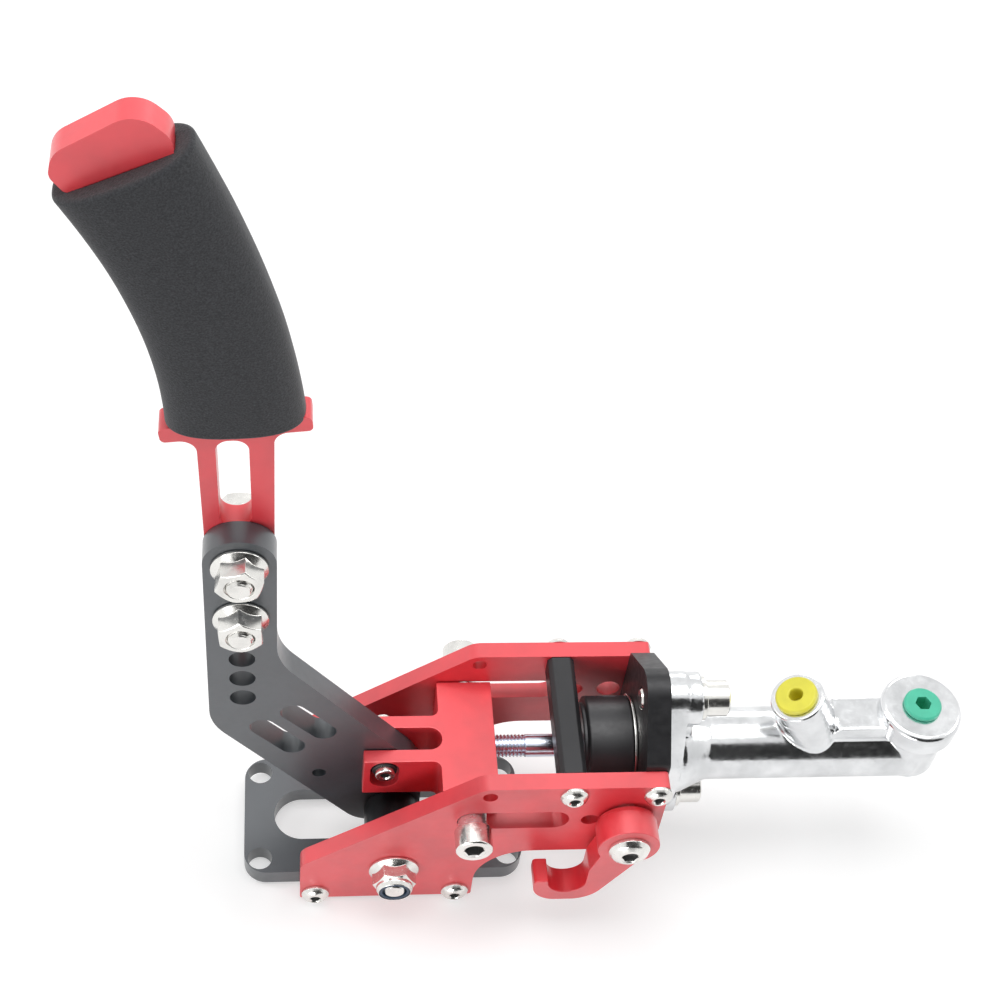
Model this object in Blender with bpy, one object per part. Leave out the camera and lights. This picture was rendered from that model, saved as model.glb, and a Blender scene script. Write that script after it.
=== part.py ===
"""Vertical hydraulic handbrake lever with its master cylinder, built as separate solids.

X runs from the lever towards the cylinder, -Y faces the near side plate, Z is up.
The origin is the middle of the base plate's underside. Sizes are written in millimetres
and turned into metres where a mesh is made.
"""
import math

import bmesh
import bpy
from mathutils import Matrix, Vector

MM = 0.001

# Clearances
GAP = 0.2
RUN = 0.06
BUSH_PLAY = 0.15
SCREW_PLAY = 0.1
HOLE_SPARE = 1.7

# Base plate
BASE_LENGTH = 98.0
BASE_WIDTH = 46.0
BASE_THICK = 7.0
BASE_CORNER = 8.0
BASE_HOLE_INSET_X = 5.5
BASE_HOLE_INSET_Y = 5.7
BASE_HOLE_X = BASE_LENGTH / 2 - BASE_HOLE_INSET_X
BASE_HOLE_Y = BASE_WIDTH / 2 - BASE_HOLE_INSET_Y
BASE_HOLE_DIA = 8.5
BASE_SLOT_MARGIN = 10.5
BASE_SLOT_WIDTH = 20.0

# Side plates
PLATE_THICK = 6.0
PLATE_INNER = BASE_WIDTH / 2 + GAP
PLATE_OUTER = PLATE_INNER + PLATE_THICK
PLATE_TOP = 70.3
PLATE_LEFT = -29.6
PLATE_FOOT_RIGHT = 30.3
PLATE_ARM_BOTTOM = 30.0
PLATE_SLANT_LOW = 22.7
PLATE_SLANT_TOP_X = 29.7
PLATE_END = 3.7

# Heights and stations along the mechanism
AXIS_Z = 50.5
PIVOT_X = 2.3
PIVOT_Z = 19.4
LINK_X = -1.4
LINK_Z = 50.6
GUIDE_X = 27.0
HOOK_X = 78.6
BULKHEAD_X = 87.5
PLATE_RIGHT = BULKHEAD_X + PLATE_END
FOOT_SCREW_X = 24.3
FOOT_SCREW_Z = BASE_THICK / 2

# Cross bar between the plates
BAR_X = 59.5
BAR_Z = 65.9
BAR_HALF = 4.6
BAR_HIGH = 8.7
BAR_CHAMFER = 1.6

# Travel, worked out from the link's swing
LEVER_DEG = 43.0
CROSSHEAD_TRAVEL = 22.5

# Slot in each side plate for the guide screw
GUIDE_ROLLER_DIA = 9.8
SLOT_HEIGHT = GUIDE_ROLLER_DIA + 2 * GAP
SLOT_LEFT = GUIDE_X - GUIDE_ROLLER_DIA / 2 - GAP
SLOT_RIGHT = 59.6

# Spare threaded holes in the side plates
SPARE_HOLE_A = (31.8, 65.6, 2.5)
SPARE_HOLE_B = (66.6, 50.2, 3.0)

# Crosshead block and its fork
BLOCK_RIGHT = 36.3
BLOCK_LEFT = 17.3
BLOCK_BOTTOM = 36.3
BLOCK_TOP = 56.0
BLOCK_HALF = PLATE_INNER - 0.4
FORK_LEFT = -8.6
FORK_INNER = 4.3
FORK_OUTER = 9.2
FORK_SLOT_END = 18.1
LINK_ROLLER_DIA = 8.4
LINK_SLOT_PLAY = 0.6
LINK_DIA = 6.6
LINK_OVERHANG = 2.2

# Lever arm
ARM_HALF = 4.0
ARM_LEFT = -59.3
ARM_RIGHT = -37.5
ARM_TOP = 168.6
ARM_KNEE_Z = 73.2
ARM_CROOK_Z = 108.0
ARM_BROW = (8.0, 48.8)
ARM_HEEL_X = -9.5
HUB_HALF = 9.9
ARM_SLOTS = ((-32.2, 79.0, -22.2, 67.4), (-42.2, 70.6, -32.5, 59.0))
ARM_SLOT_RADIUS = 4.3
BUSH_RADIUS = 6.0

# Bolts through arm and stem, and the spare holes below them
BOLT_X = -48.4
BOLT_Z = (156.8, 131.5)
SPARE_ARM_Z = (120.4, 109.7, 99.1, 88.3)
SPARE_ARM_DIA = 8.3
NUT_TURNS = (14.0, -4.0)

# Stem, collar and head, cut from one plate
STEM_FRONT = ARM_HALF + GAP
STEM_THICK = 8.0
STEM_LEFT = -59.6
STEM_RIGHT = -38.2
STEM_BOTTOM = 118.0
STEM_SLOT_HALF = 4.65
STEM_SLOT_X = -49.3
STEM_SLOT_LOW = 166.0
STEM_SLOT_HIGH = 204.0
STEM_MID = STEM_FRONT + STEM_THICK / 2
COLLAR_THICK = 5.6
COLLAR_HALF = 21.2
HEAD_RISE = 17.6
HEAD_LEFT_RISE = 11.6

# Foam grip: an arc that leans back as it rises
GRIP_FOOT = Vector((-49.4, 210.4))
GRIP_LEAN_LOW = math.radians(6.7)
GRIP_LEAN_HIGH = math.radians(23.5)
GRIP_RADIUS = 309.0
GRIP_HALF_WIDTH = 19.1
GRIP_HALF_DEPTH = 9.9
GRIP_CORE_HALF = 14.3
GRIP_FIT = 0.3

# Threads and fasteners
M5 = 5.0
M8 = 8.0
BUTTON_DIA = 9.5
BUTTON_HIGH = 2.75
FRAME_SCREW_LENGTH = 15.0
HOOK_HEAD_DIA = 14.0
HOOK_HEAD_HIGH = 3.6
CAP_DIA = 12.4
CAP_HIGH = 7.7
NUT_FLATS = 13.0
NUT_FLANGE_DIA = 17.2
NUT_HIGH = 8.0
PIVOT_NUT_HIGH = 6.8
PIVOT_COLLAR = 2.4

# Guide screw stations along Y
GUIDE_HEAD_SEAT = PLATE_OUTER + 3.7

# Lock hook, which stands off the near plate by a washer and a step
HOOK_THICK = 9.0
HOOK_STEP = 1.5
HOOK_BOSS = 10.4
WASHER_THICK = 0.7
HOOK_FAR = PLATE_OUTER + GAP + WASHER_THICK + HOOK_STEP
HOOK_NEAR = HOOK_FAR + HOOK_THICK
THROAT_BACK = 18.1
THROAT_DROP = 22.75
THROAT_RADIUS = CAP_DIA / 2 + 0.3
HOOK_TIP = 4.8
HOOK_BELLY = 5.3

# Bulkhead
BULKHEAD_THICK = 8.0
BULKHEAD_HALF = PLATE_INNER - GAP
BULKHEAD_SHOULDER = 22.3
BULKHEAD_APEX = 43.0
SPIGOT_RADIUS = 13.2
SPIGOT_PLAY = 0.3

# Master cylinder
CYL_BOLT_RISE = 28.0
FLANGE_LEFT = BULKHEAD_X + BULKHEAD_THICK / 2 + 0.3
FLANGE_THICK = 6.2
BOSS_THICK = 11.2
BOSS_RADIUS = 9.4
FLANGE_RIGHT = FLANGE_LEFT + BOSS_THICK
FLANGE_HALF = 17.5
HUB_RADIUS = 16.5
CYL_RADIUS = 12.4
CYL_BORE = 9.5
CYL_REACH = 83.0
CYL_END = FLANGE_RIGHT + CYL_REACH
END_WALL = 14.0
BORE_END = CYL_END - END_WALL
OUTLET_INSET = 3.6
OUTLET_X = CYL_END - OUTLET_INSET
OUTLET_TOP = AXIS_Z + 21.5
OUTLET_RADIUS = 14.1
OUTLET_NECK = 11.4
INLET_LEAN = math.radians(25.0)
INLET_REACH = 47.0
INLET_BASE_X = FLANGE_RIGHT + INLET_REACH
INLET_LENGTH = 31.0
INLET_RADIUS = 9.4
PORT_RADIUS = 4.7
RIB_HALF = 6.5
RIB_TOP = AXIS_Z + 17.5

# Pushrod, piston and boot
ROD_RADIUS = 3.9
PISTON_INSET = 8.2
PISTON_LEFT = FLANGE_LEFT + PISTON_INSET
PISTON_LENGTH = 28.0
BOOT_RADIUS = 16.8
BOOT_LENGTH = 16.6
BOOT_RIGHT = BULKHEAD_X - BULKHEAD_THICK / 2 - 1.4
BOOT_LEFT = BOOT_RIGHT - BOOT_LENGTH

ARC_STEP = math.radians(22.0)


def clear_scene():
    for obj in list(bpy.data.objects):
        bpy.data.objects.remove(obj, do_unlink=True)


clear_scene()
PARTS = bpy.data.collections.new("hydraulic_handbrake_lever")
bpy.context.scene.collection.children.link(PARTS)


def material(name, colour, roughness, metallic):
    mat = bpy.data.materials.new(name)
    mat.use_nodes = True
    shader = mat.node_tree.nodes["Principled BSDF"]
    shader.inputs["Base Color"].default_value = (*colour, 1.0)
    shader.inputs["Roughness"].default_value = roughness
    shader.inputs["Metallic"].default_value = metallic
    mat.diffuse_color = (*colour, 1.0)
    return mat


RED = (0.62, 0.035, 0.05)
BLACK = (0.022, 0.023, 0.025)
STEEL = (0.62, 0.62, 0.60)


# Outlines


def rounded(corners):
    """Turn corners (x, y, radius) into a closed outline with true arcs."""
    points = []
    count = len(corners)
    for i in range(count):
        here = Vector(corners[i][:2])
        before = Vector(corners[i - 1][:2])
        after = Vector(corners[(i + 1) % count][:2])
        radius = corners[i][2]
        if radius <= 0:
            points.append(here)
            continue
        to_before = (before - here).normalized()
        to_after = (after - here).normalized()
        half = math.acos(max(-1.0, min(1.0, to_before.dot(to_after)))) / 2
        centre = here + (to_before + to_after).normalized() * (radius / math.sin(half))
        start = here + to_before * (radius / math.tan(half)) - centre
        end = here + to_after * (radius / math.tan(half)) - centre
        sweep = math.atan2(start.x * end.y - start.y * end.x, start.dot(end))
        steps = max(2, math.ceil(abs(sweep) / ARC_STEP))
        for k in range(steps + 1):
            turn = Matrix.Rotation(sweep * k / steps, 2)
            points.append(centre + turn @ start)
    return points


def circle(x, y, radius, count=14):
    angles = [2 * math.pi * (i + 0.25) / count for i in range(count)]
    return [Vector((x + radius * math.cos(a), y + radius * math.sin(a))) for a in angles]


def hexagon(x, y, flats, turn=0.0):
    return [
        Vector((x, y)) + Matrix.Rotation(turn + i * math.pi / 3, 2) @ Vector((flats / math.sqrt(3), 0))
        for i in range(6)
    ]


def stadium(x0, y0, x1, y1, radius, arc=7):
    """Outline of a slot with round ends, between two arc centres."""
    first = Vector((x0, y0))
    second = Vector((x1, y1))
    along = (second - first).normalized()
    side = Vector((-along.y, along.x)) * radius
    points = []
    for k in range(arc + 1):
        points.append(second + Matrix.Rotation(-math.pi * k / arc, 2) @ side)
    for k in range(arc + 1):
        points.append(first + Matrix.Rotation(-math.pi * k / arc, 2) @ -side)
    return points


# Solids

PLANES = {
    "X": Matrix(((0, 0, 1), (1, 0, 0), (0, 1, 0))),
    "Y": Matrix(((1, 0, 0), (0, 0, -1), (0, 1, 0))),
    "Z": Matrix(((1, 0, 0), (0, 1, 0), (0, 0, 1))),
}


def slab_mesh(name, loops, axis, low, high, chamfer=0.0):
    """Flat outlines with holes, thickened along one axis; the outer outline may be chamfered."""
    curve = bpy.data.curves.new(name, "CURVE")
    curve.dimensions = "2D"
    curve.fill_mode = "BOTH"
    curve.extrude = (high - low) / 2 * MM
    for loop in loops:
        spline = curve.splines.new("POLY")
        spline.points.add(len(loop) - 1)
        for point, target in zip(loop, spline.points):
            target.co = (point[0] * MM, point[1] * MM, 0, 1)
        spline.use_cyclic_u = True
    holder = bpy.data.objects.new(name, curve)
    PARTS.objects.link(holder)
    bpy.context.view_layer.update()
    graph = bpy.context.evaluated_depsgraph_get()
    mesh = bpy.data.meshes.new_from_object(holder.evaluated_get(graph))
    bpy.data.objects.remove(holder, do_unlink=True)
    bpy.data.curves.remove(curve)
    shape = bmesh.new()
    shape.from_mesh(mesh)
    bmesh.ops.remove_doubles(shape, verts=shape.verts, dist=1e-7)
    bmesh.ops.dissolve_limit(shape, angle_limit=math.radians(0.5), verts=shape.verts, edges=shape.edges)
    if chamfer > 0:
        outer = {(round(x, 3), round(y, 3)) for x, y in (point[:2] for point in loops[0])}
        rims = [
            e for e in shape.edges
            if abs(e.verts[0].co.z - e.verts[1].co.z) < 1e-7
            and all((round(v.co.x / MM, 3), round(v.co.y / MM, 3)) in outer for v in e.verts)
        ]
        bmesh.ops.bevel(
            shape, geom=rims, offset=chamfer * MM, segments=1, affect="EDGES", profile=0.5, clamp_overlap=True
        )
    spin = PLANES[axis].to_4x4()
    middle = (low + high) / 2 * MM
    shift = {"X": (middle, 0, 0), "Y": (0, middle, 0), "Z": (0, 0, middle)}[axis]
    bmesh.ops.transform(shape, matrix=Matrix.Translation(shift) @ spin, verts=shape.verts)
    bmesh.ops.recalc_face_normals(shape, faces=shape.faces)
    shape.to_mesh(mesh)
    shape.free()
    mesh.materials.clear()
    return mesh


def turned_mesh(name, profile, direction, start, segments=14):
    """Spin a profile of (radius, distance) pairs about a line through start."""
    shape = bmesh.new()
    verts = [shape.verts.new((r * MM, 0, h * MM)) for r, h in profile]
    edges = [shape.edges.new((a, b)) for a, b in zip(verts, verts[1:])]
    if profile[0][0] > 0:
        edges.append(shape.edges.new((verts[-1], verts[0])))
    bmesh.ops.spin(
        shape, geom=verts + edges, cent=(0, 0, 0), axis=(0, 0, 1), angle=2 * math.pi, steps=segments,
        use_merge=False, use_duplicate=False,
    )
    bmesh.ops.remove_doubles(shape, verts=shape.verts, dist=1e-7)
    aim = Vector((0, 0, 1)).rotation_difference(Vector(direction).normalized()).to_matrix().to_4x4()
    place = Matrix.Translation(Vector(start) * MM) @ aim
    bmesh.ops.transform(shape, matrix=place, verts=shape.verts)
    bmesh.ops.recalc_face_normals(shape, faces=shape.faces)
    mesh = bpy.data.meshes.new(name)
    shape.to_mesh(mesh)
    shape.free()
    return mesh


def combine(name, base, others, operation):
    """Boolean of one mesh with several others, kept as a plain mesh."""
    body = bpy.data.objects.new(name, base)
    PARTS.objects.link(body)
    tools = []
    for mesh in others:
        tool = bpy.data.objects.new(name + "_tool", mesh)
        PARTS.objects.link(tool)
        modifier = body.modifiers.new("boolean", "BOOLEAN")
        modifier.operation = operation
        modifier.solver = "EXACT"
        modifier.object = tool
        tools.append(tool)
    bpy.context.view_layer.update()
    graph = bpy.context.evaluated_depsgraph_get()
    result = bpy.data.meshes.new_from_object(body.evaluated_get(graph))
    for obj in [body, *tools]:
        bpy.data.objects.remove(obj, do_unlink=True)
    shape = bmesh.new()
    shape.from_mesh(result)
    bmesh.ops.remove_doubles(shape, verts=shape.verts, dist=1e-6)
    bmesh.ops.dissolve_limit(shape, angle_limit=math.radians(0.3), verts=shape.verts, edges=shape.edges)
    shape.to_mesh(result)
    shape.free()
    return result


def drill(name, mesh, holes):
    return combine(name, mesh, holes, "DIFFERENCE")


def weld(name, mesh, extras):
    return combine(name, mesh, extras, "UNION")


def rod(name, radius, direction, start, length, segments=16):
    return turned_mesh(name, [(0, 0), (radius, 0), (radius, length), (0, length)], direction, start, segments)


def anchor(name, x, y, z):
    """Empty on a joint's axis, which carries the pieces that move with it."""
    empty = bpy.data.objects.new(name, None)
    empty.location = Vector((x, y, z)) * MM
    empty.empty_display_size = 0.01
    PARTS.objects.link(empty)
    return empty


def add(name, mesh, mat, origin, parent=None):
    """Make the named object, with its origin at a point given in world millimetres."""
    mesh = mesh.copy()
    mesh.name = name
    home = Vector(origin) * MM
    mesh.transform(Matrix.Translation(-home))
    mesh.materials.clear()
    mesh.materials.append(mat)
    obj = bpy.data.objects.new(name, mesh)
    PARTS.objects.link(obj)
    obj.parent = parent
    obj.location = home - (parent.location if parent else Vector())
    return obj


# Fasteners, each made once at the origin with its head towards -Y, and reused


def socket_screw(name, head, high, dome, shank, length, key, segments=14):
    """Head from y = 0 to -high, shank from y = 0 to +length."""
    if dome:
        rim = [(head / 2, 0), (head / 2, 0.25 * high), (head * 0.32, high), (0, high)]
    else:
        rim = [(head / 2, 0), (head / 2, high - 0.7), (head / 2 - 0.7, high), (0, high)]
    profile = [(0, -length), (shank / 2, -length), (shank / 2, 0), *rim]
    body = turned_mesh(name, profile, (0, -1, 0), (0, 0, 0), segments)
    key_hole = slab_mesh(name + "_key", [hexagon(0, 0, key)], "Y", -high - 1, -high * (0.35 if dome else 0.5))
    return drill(name, body, [key_hole])


def flange_nut(name, bore, high, collar=0.0):
    """Seat at y = 0, body towards -Y."""
    skirt = turned_mesh(
        name + "_skirt",
        [(0, 0), (NUT_FLANGE_DIA / 2, 0), (NUT_FLANGE_DIA / 2, 0.9), (NUT_FLATS * 0.52, 2.6), (0, 2.6)],
        (0, -1, 0), (0, 0, 0), 18,
    )
    body = slab_mesh(name, [hexagon(0, 0, NUT_FLATS)], "Y", -high, -0.4)
    parts = [skirt]
    cuts = [rod("bore", bore, (0, -1, 0), (0, 1, 0), high + collar + 2, 16)]
    if collar > 0:
        rim = NUT_FLATS * 0.48
        profile = [(0, high - 0.5), (rim, high - 0.5), (rim, high + 0.6), (rim - 0.8, high + collar), (0, high + collar)]
        parts.append(turned_mesh(name + "_collar", profile, (0, -1, 0), (0, 0, 0), 18))
        cuts.append(rod("seat", bore + 1.3, (0, -1, 0), (0, -high - collar + 1.6, 0), 3, 16))
    return drill(name, weld(name, body, parts), cuts)


def flange_bolt(name, shank, length, end_chamfer=0.6):
    """Seat at y = 0, head towards +Y, shank towards -Y."""
    skirt = turned_mesh(
        name + "_skirt",
        [(0, 0), (NUT_FLANGE_DIA / 2, 0), (NUT_FLANGE_DIA / 2, 0.9), (NUT_FLATS * 0.52, 2.6), (0, 2.6)],
        (0, 1, 0), (0, 0, 0), 18,
    )
    head = slab_mesh(name, [hexagon(0, 0, NUT_FLATS)], "Y", 0.4, NUT_HIGH - 1.0)
    pin = turned_mesh(
        name + "_shank",
        [(0, -1), (shank / 2, -1), (shank / 2, length - end_chamfer), (shank / 2 - end_chamfer, length), (0, length)],
        (0, -1, 0), (0, 0, 0), 16,
    )
    return weld(name, head, [skirt, pin])


def moved(mesh, x, y, z, flip=False, turn=None):
    """Copy of a mesh at a place in millimetres; flip mirrors it end for end by a half turn about Z."""
    result = mesh.copy()
    matrix = Matrix.Translation(Vector((x, y, z)) * MM)
    if flip:
        matrix = matrix @ Matrix.Rotation(math.pi, 4, "Z")
    if turn:
        matrix = matrix @ turn
    result.transform(matrix)
    return result


def build_base():
    mat = material("base_plate", (0.05, 0.055, 0.06), 0.5, 0.7)
    outline = rounded([
        (-BASE_LENGTH / 2, -BASE_WIDTH / 2, BASE_CORNER), (BASE_LENGTH / 2, -BASE_WIDTH / 2, BASE_CORNER),
        (BASE_LENGTH / 2, BASE_WIDTH / 2, BASE_CORNER), (-BASE_LENGTH / 2, BASE_WIDTH / 2, BASE_CORNER),
    ])
    slot_centre = BASE_LENGTH / 2 - BASE_SLOT_MARGIN - BASE_SLOT_WIDTH / 2
    loops = [outline, stadium(-slot_centre, 0, slot_centre, 0, BASE_SLOT_WIDTH / 2, 10)]
    for sx in (-1, 1):
        for sy in (-1, 1):
            loops.append(circle(sx * BASE_HOLE_X, sy * BASE_HOLE_Y, BASE_HOLE_DIA / 2, 16))
    plate = slab_mesh("base_plate", loops, "Z", 0, BASE_THICK, 0.5)
    holes = []
    for sx in (-1, 1):
        for sy in (-1, 1):
            start = (sx * FOOT_SCREW_X, sy * (BASE_WIDTH / 2 + 1), FOOT_SCREW_Z)
            depth = frame_hole_depth(BASE_WIDTH / 2)
            holes.append(rod("hole", M5 / 2 + SCREW_PLAY, (0, -sy, 0), start, depth + 1, 12))
    add("base_plate", drill("base_plate", plate, holes), mat, (0, 0, 0))


def frame_hole_depth(half):
    """Depth of a tapped hole for a frame screw, from a face at this distance off the middle."""
    return FRAME_SCREW_LENGTH - (PLATE_OUTER + GAP / 2 - half) + HOLE_SPARE


def side_plate_loops():
    outline = rounded([
        (PLATE_LEFT, 0, 1.0), (PLATE_FOOT_RIGHT, 0, 1.0), (PLATE_FOOT_RIGHT, PLATE_ARM_BOTTOM, 19.0),
        (PLATE_RIGHT, PLATE_ARM_BOTTOM, 3.0), (PLATE_RIGHT, PLATE_TOP, 1.5),
        (PLATE_SLANT_TOP_X, PLATE_TOP, 8.0), (PLATE_LEFT, PLATE_SLANT_LOW, 6.0),
    ])
    loops = [outline]
    for x in (-FOOT_SCREW_X, FOOT_SCREW_X):
        loops.append(circle(x, FOOT_SCREW_Z, M5 / 2 + SCREW_PLAY, 12))
    loops.append(circle(BAR_X, BAR_Z, M5 / 2 + SCREW_PLAY, 12))
    loops.append(circle(BULKHEAD_X, BAR_Z, M5 / 2 + SCREW_PLAY, 12))
    loops.append(circle(PIVOT_X, PIVOT_Z, M8 / 2 + SCREW_PLAY, 16))
    loops.append(circle(HOOK_X, AXIS_Z, M8 / 2 + SCREW_PLAY, 16))
    for x, z, r in (SPARE_HOLE_A, SPARE_HOLE_B):
        loops.append(circle(x, z, r, 14))
    r = SLOT_HEIGHT / 2
    loops.append(stadium(SLOT_LEFT + r, AXIS_Z, SLOT_RIGHT - r, AXIS_Z, r))
    return loops


def build_side_plates():
    for name, low, high in (
        ("side_plate_near", -PLATE_OUTER, -PLATE_INNER), ("side_plate_far", PLATE_INNER, PLATE_OUTER)
    ):
        mat = material(name, RED, 0.34, 0.85)
        mesh = slab_mesh(name, side_plate_loops(), "Y", low, high, 0.4)
        add(name, mesh, mat, (PIVOT_X, (low + high) / 2, PIVOT_Z))


def frame_holes(x, z, half):
    """Tapped holes for a pair of frame screws, from both ends of a cross piece."""
    depth = frame_hole_depth(half)
    return [
        rod("hole", M5 / 2 + SCREW_PLAY, (0, -s, 0), (x, s * (half + 1), z), depth + 1, 12) for s in (-1, 1)
    ]


def build_cross_pieces():
    mat = material("cross_bar", (0.018, 0.018, 0.02), 0.42, 0.6)
    half = PLATE_INNER - GAP
    top = BAR_Z + BAR_HIGH / 2
    low = BAR_Z - BAR_HIGH / 2
    left = BAR_X - BAR_HALF
    right = BAR_X + BAR_HALF
    box = [
        (left, low), (right, low), (right, top - BAR_CHAMFER), (right - BAR_CHAMFER, top),
        (left + BAR_CHAMFER, top), (left, top - BAR_CHAMFER),
    ]
    bar = slab_mesh("cross_bar", [box], "Y", -half, half)
    add("cross_bar", drill("cross_bar", bar, frame_holes(BAR_X, BAR_Z, half)), mat, (BAR_X, 0, BAR_Z))

    mat = material("bulkhead", (0.012, 0.012, 0.014), 0.4, 0.5)
    half = BULKHEAD_HALF
    outline = rounded([
        (half, AXIS_Z + BULKHEAD_SHOULDER, 3), (0, AXIS_Z + BULKHEAD_APEX, 9), (-half, AXIS_Z + BULKHEAD_SHOULDER, 3),
        (-half, AXIS_Z - BULKHEAD_SHOULDER, 3), (0, AXIS_Z - BULKHEAD_APEX, 9), (half, AXIS_Z - BULKHEAD_SHOULDER, 3),
    ])
    loops = [outline, circle(0, AXIS_Z, SPIGOT_RADIUS + SPIGOT_PLAY, 24)]
    for s in (-1, 1):
        loops.append(circle(0, AXIS_Z + s * CYL_BOLT_RISE, M8 / 2 + SCREW_PLAY, 16))
    low = BULKHEAD_X - BULKHEAD_THICK / 2
    plate = slab_mesh("bulkhead", loops, "X", low, low + BULKHEAD_THICK, 0.4)
    plate = drill("bulkhead", plate, frame_holes(BULKHEAD_X, BAR_Z, half))
    add("bulkhead", plate, mat, (BULKHEAD_X, 0, AXIS_Z))


def build_frame_screws():
    screw = socket_screw("frame_screw", BUTTON_DIA, BUTTON_HIGH, True, M5 - 0.1, FRAME_SCREW_LENGTH, 3.2, 12)
    places = {
        "foot_screw_left": (-FOOT_SCREW_X, FOOT_SCREW_Z), "foot_screw_right": (FOOT_SCREW_X, FOOT_SCREW_Z),
        "bar_screw": (BAR_X, BAR_Z), "bulkhead_screw": (BULKHEAD_X, BAR_Z),
    }
    seat = PLATE_OUTER + GAP / 2
    for base_name, (x, z) in places.items():
        for side, y, flip in (("near", -seat, False), ("far", seat, True)):
            name = base_name + "_" + side
            mat = material(name, STEEL, 0.22, 1.0)
            add(name, moved(screw, x, y, z, flip), mat, (x, y, z))


def build_pivot():
    seat = PLATE_OUTER + GAP / 2
    mat = material("pivot_bolt", STEEL, 0.25, 1.0)
    bolt = flange_bolt("pivot_bolt", M8 - 0.1, 2 * seat + NUT_HIGH + 1.0)
    add("pivot_bolt", moved(bolt, PIVOT_X, seat, PIVOT_Z), mat, (PIVOT_X, 0, PIVOT_Z))
    mat = material("pivot_nut", STEEL, 0.22, 1.0)
    nut = flange_nut("pivot_nut", M8 / 2 + SCREW_PLAY, PIVOT_NUT_HIGH, PIVOT_COLLAR)
    add("pivot_nut", moved(nut, PIVOT_X, -seat, PIVOT_Z), mat, (PIVOT_X, -seat, PIVOT_Z))
    mat = material("pivot_nut_ring", (0.02, 0.05, 0.09), 0.4, 0.0)
    ring_base = seat + PIVOT_NUT_HIGH + PIVOT_COLLAR - 1.6 + 0.1
    inner = M8 / 2 + SCREW_PLAY
    ring = turned_mesh(
        "pivot_nut_ring", [(inner, 0), (inner + 1.15, 0), (inner + 1.15, 1.3), (inner, 1.3)],
        (0, -1, 0), (PIVOT_X, -ring_base, PIVOT_Z),
    )
    add("pivot_nut_ring", ring, mat, (PIVOT_X, -ring_base, PIVOT_Z))
    low = ARM_HALF + 0.3
    high = PLATE_INNER - GAP
    for name, s in (("pivot_spacer_near", -1), ("pivot_spacer_far", 1)):
        mat = material(name, (0.45, 0.45, 0.46), 0.35, 1.0)
        tube = turned_mesh(
            name, [(inner, low), (9.6, low), (9.6, high), (inner, high)], (0, s, 0), (PIVOT_X, 0, PIVOT_Z), 16
        )
        add(name, tube, mat, (PIVOT_X, s * (low + high) / 2, PIVOT_Z))


def arm_loops():
    outline = rounded([
        (PIVOT_X + HUB_HALF, PIVOT_Z - HUB_HALF, 9.8), (ARM_HEEL_X, PIVOT_Z - HUB_HALF, 12.0),
        (ARM_LEFT, ARM_KNEE_Z, 22.0), (ARM_LEFT, ARM_TOP, 10.3), (ARM_RIGHT, ARM_TOP, 10.3),
        (ARM_RIGHT, ARM_CROOK_Z, 24.0), (*ARM_BROW, 6.0), (PIVOT_X + HUB_HALF, ARM_BROW[1] - 8.8, 6.0),
    ])
    loops = [outline]
    for z in BOLT_Z:
        loops.append(circle(BOLT_X, z, M8 / 2 + 2 * SCREW_PLAY, 16))
    for z in SPARE_ARM_Z:
        loops.append(circle(BOLT_X, z, SPARE_ARM_DIA / 2, 14))
    for slot in ARM_SLOTS:
        loops.append(stadium(*slot, ARM_SLOT_RADIUS, 6))
    loops.append(circle(-23.3, 41.5, 2.4, 12))
    loops.append(circle(LINK_X, LINK_Z, LINK_DIA / 2 + SCREW_PLAY, 14))
    loops.append(circle(PIVOT_X, PIVOT_Z, BUSH_RADIUS + SCREW_PLAY, 18))
    return loops


def grip_point(t, across):
    """Point in the XZ plane at a share t of the grip's arc, offset across it."""
    lean = GRIP_LEAN_LOW + (GRIP_LEAN_HIGH - GRIP_LEAN_LOW) * t
    along = Vector((
        math.cos(lean) - math.cos(GRIP_LEAN_LOW),
        math.sin(lean) - math.sin(GRIP_LEAN_LOW),
    )) * GRIP_RADIUS
    return GRIP_FOOT + along + Vector((math.cos(lean), math.sin(lean))) * across


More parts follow.
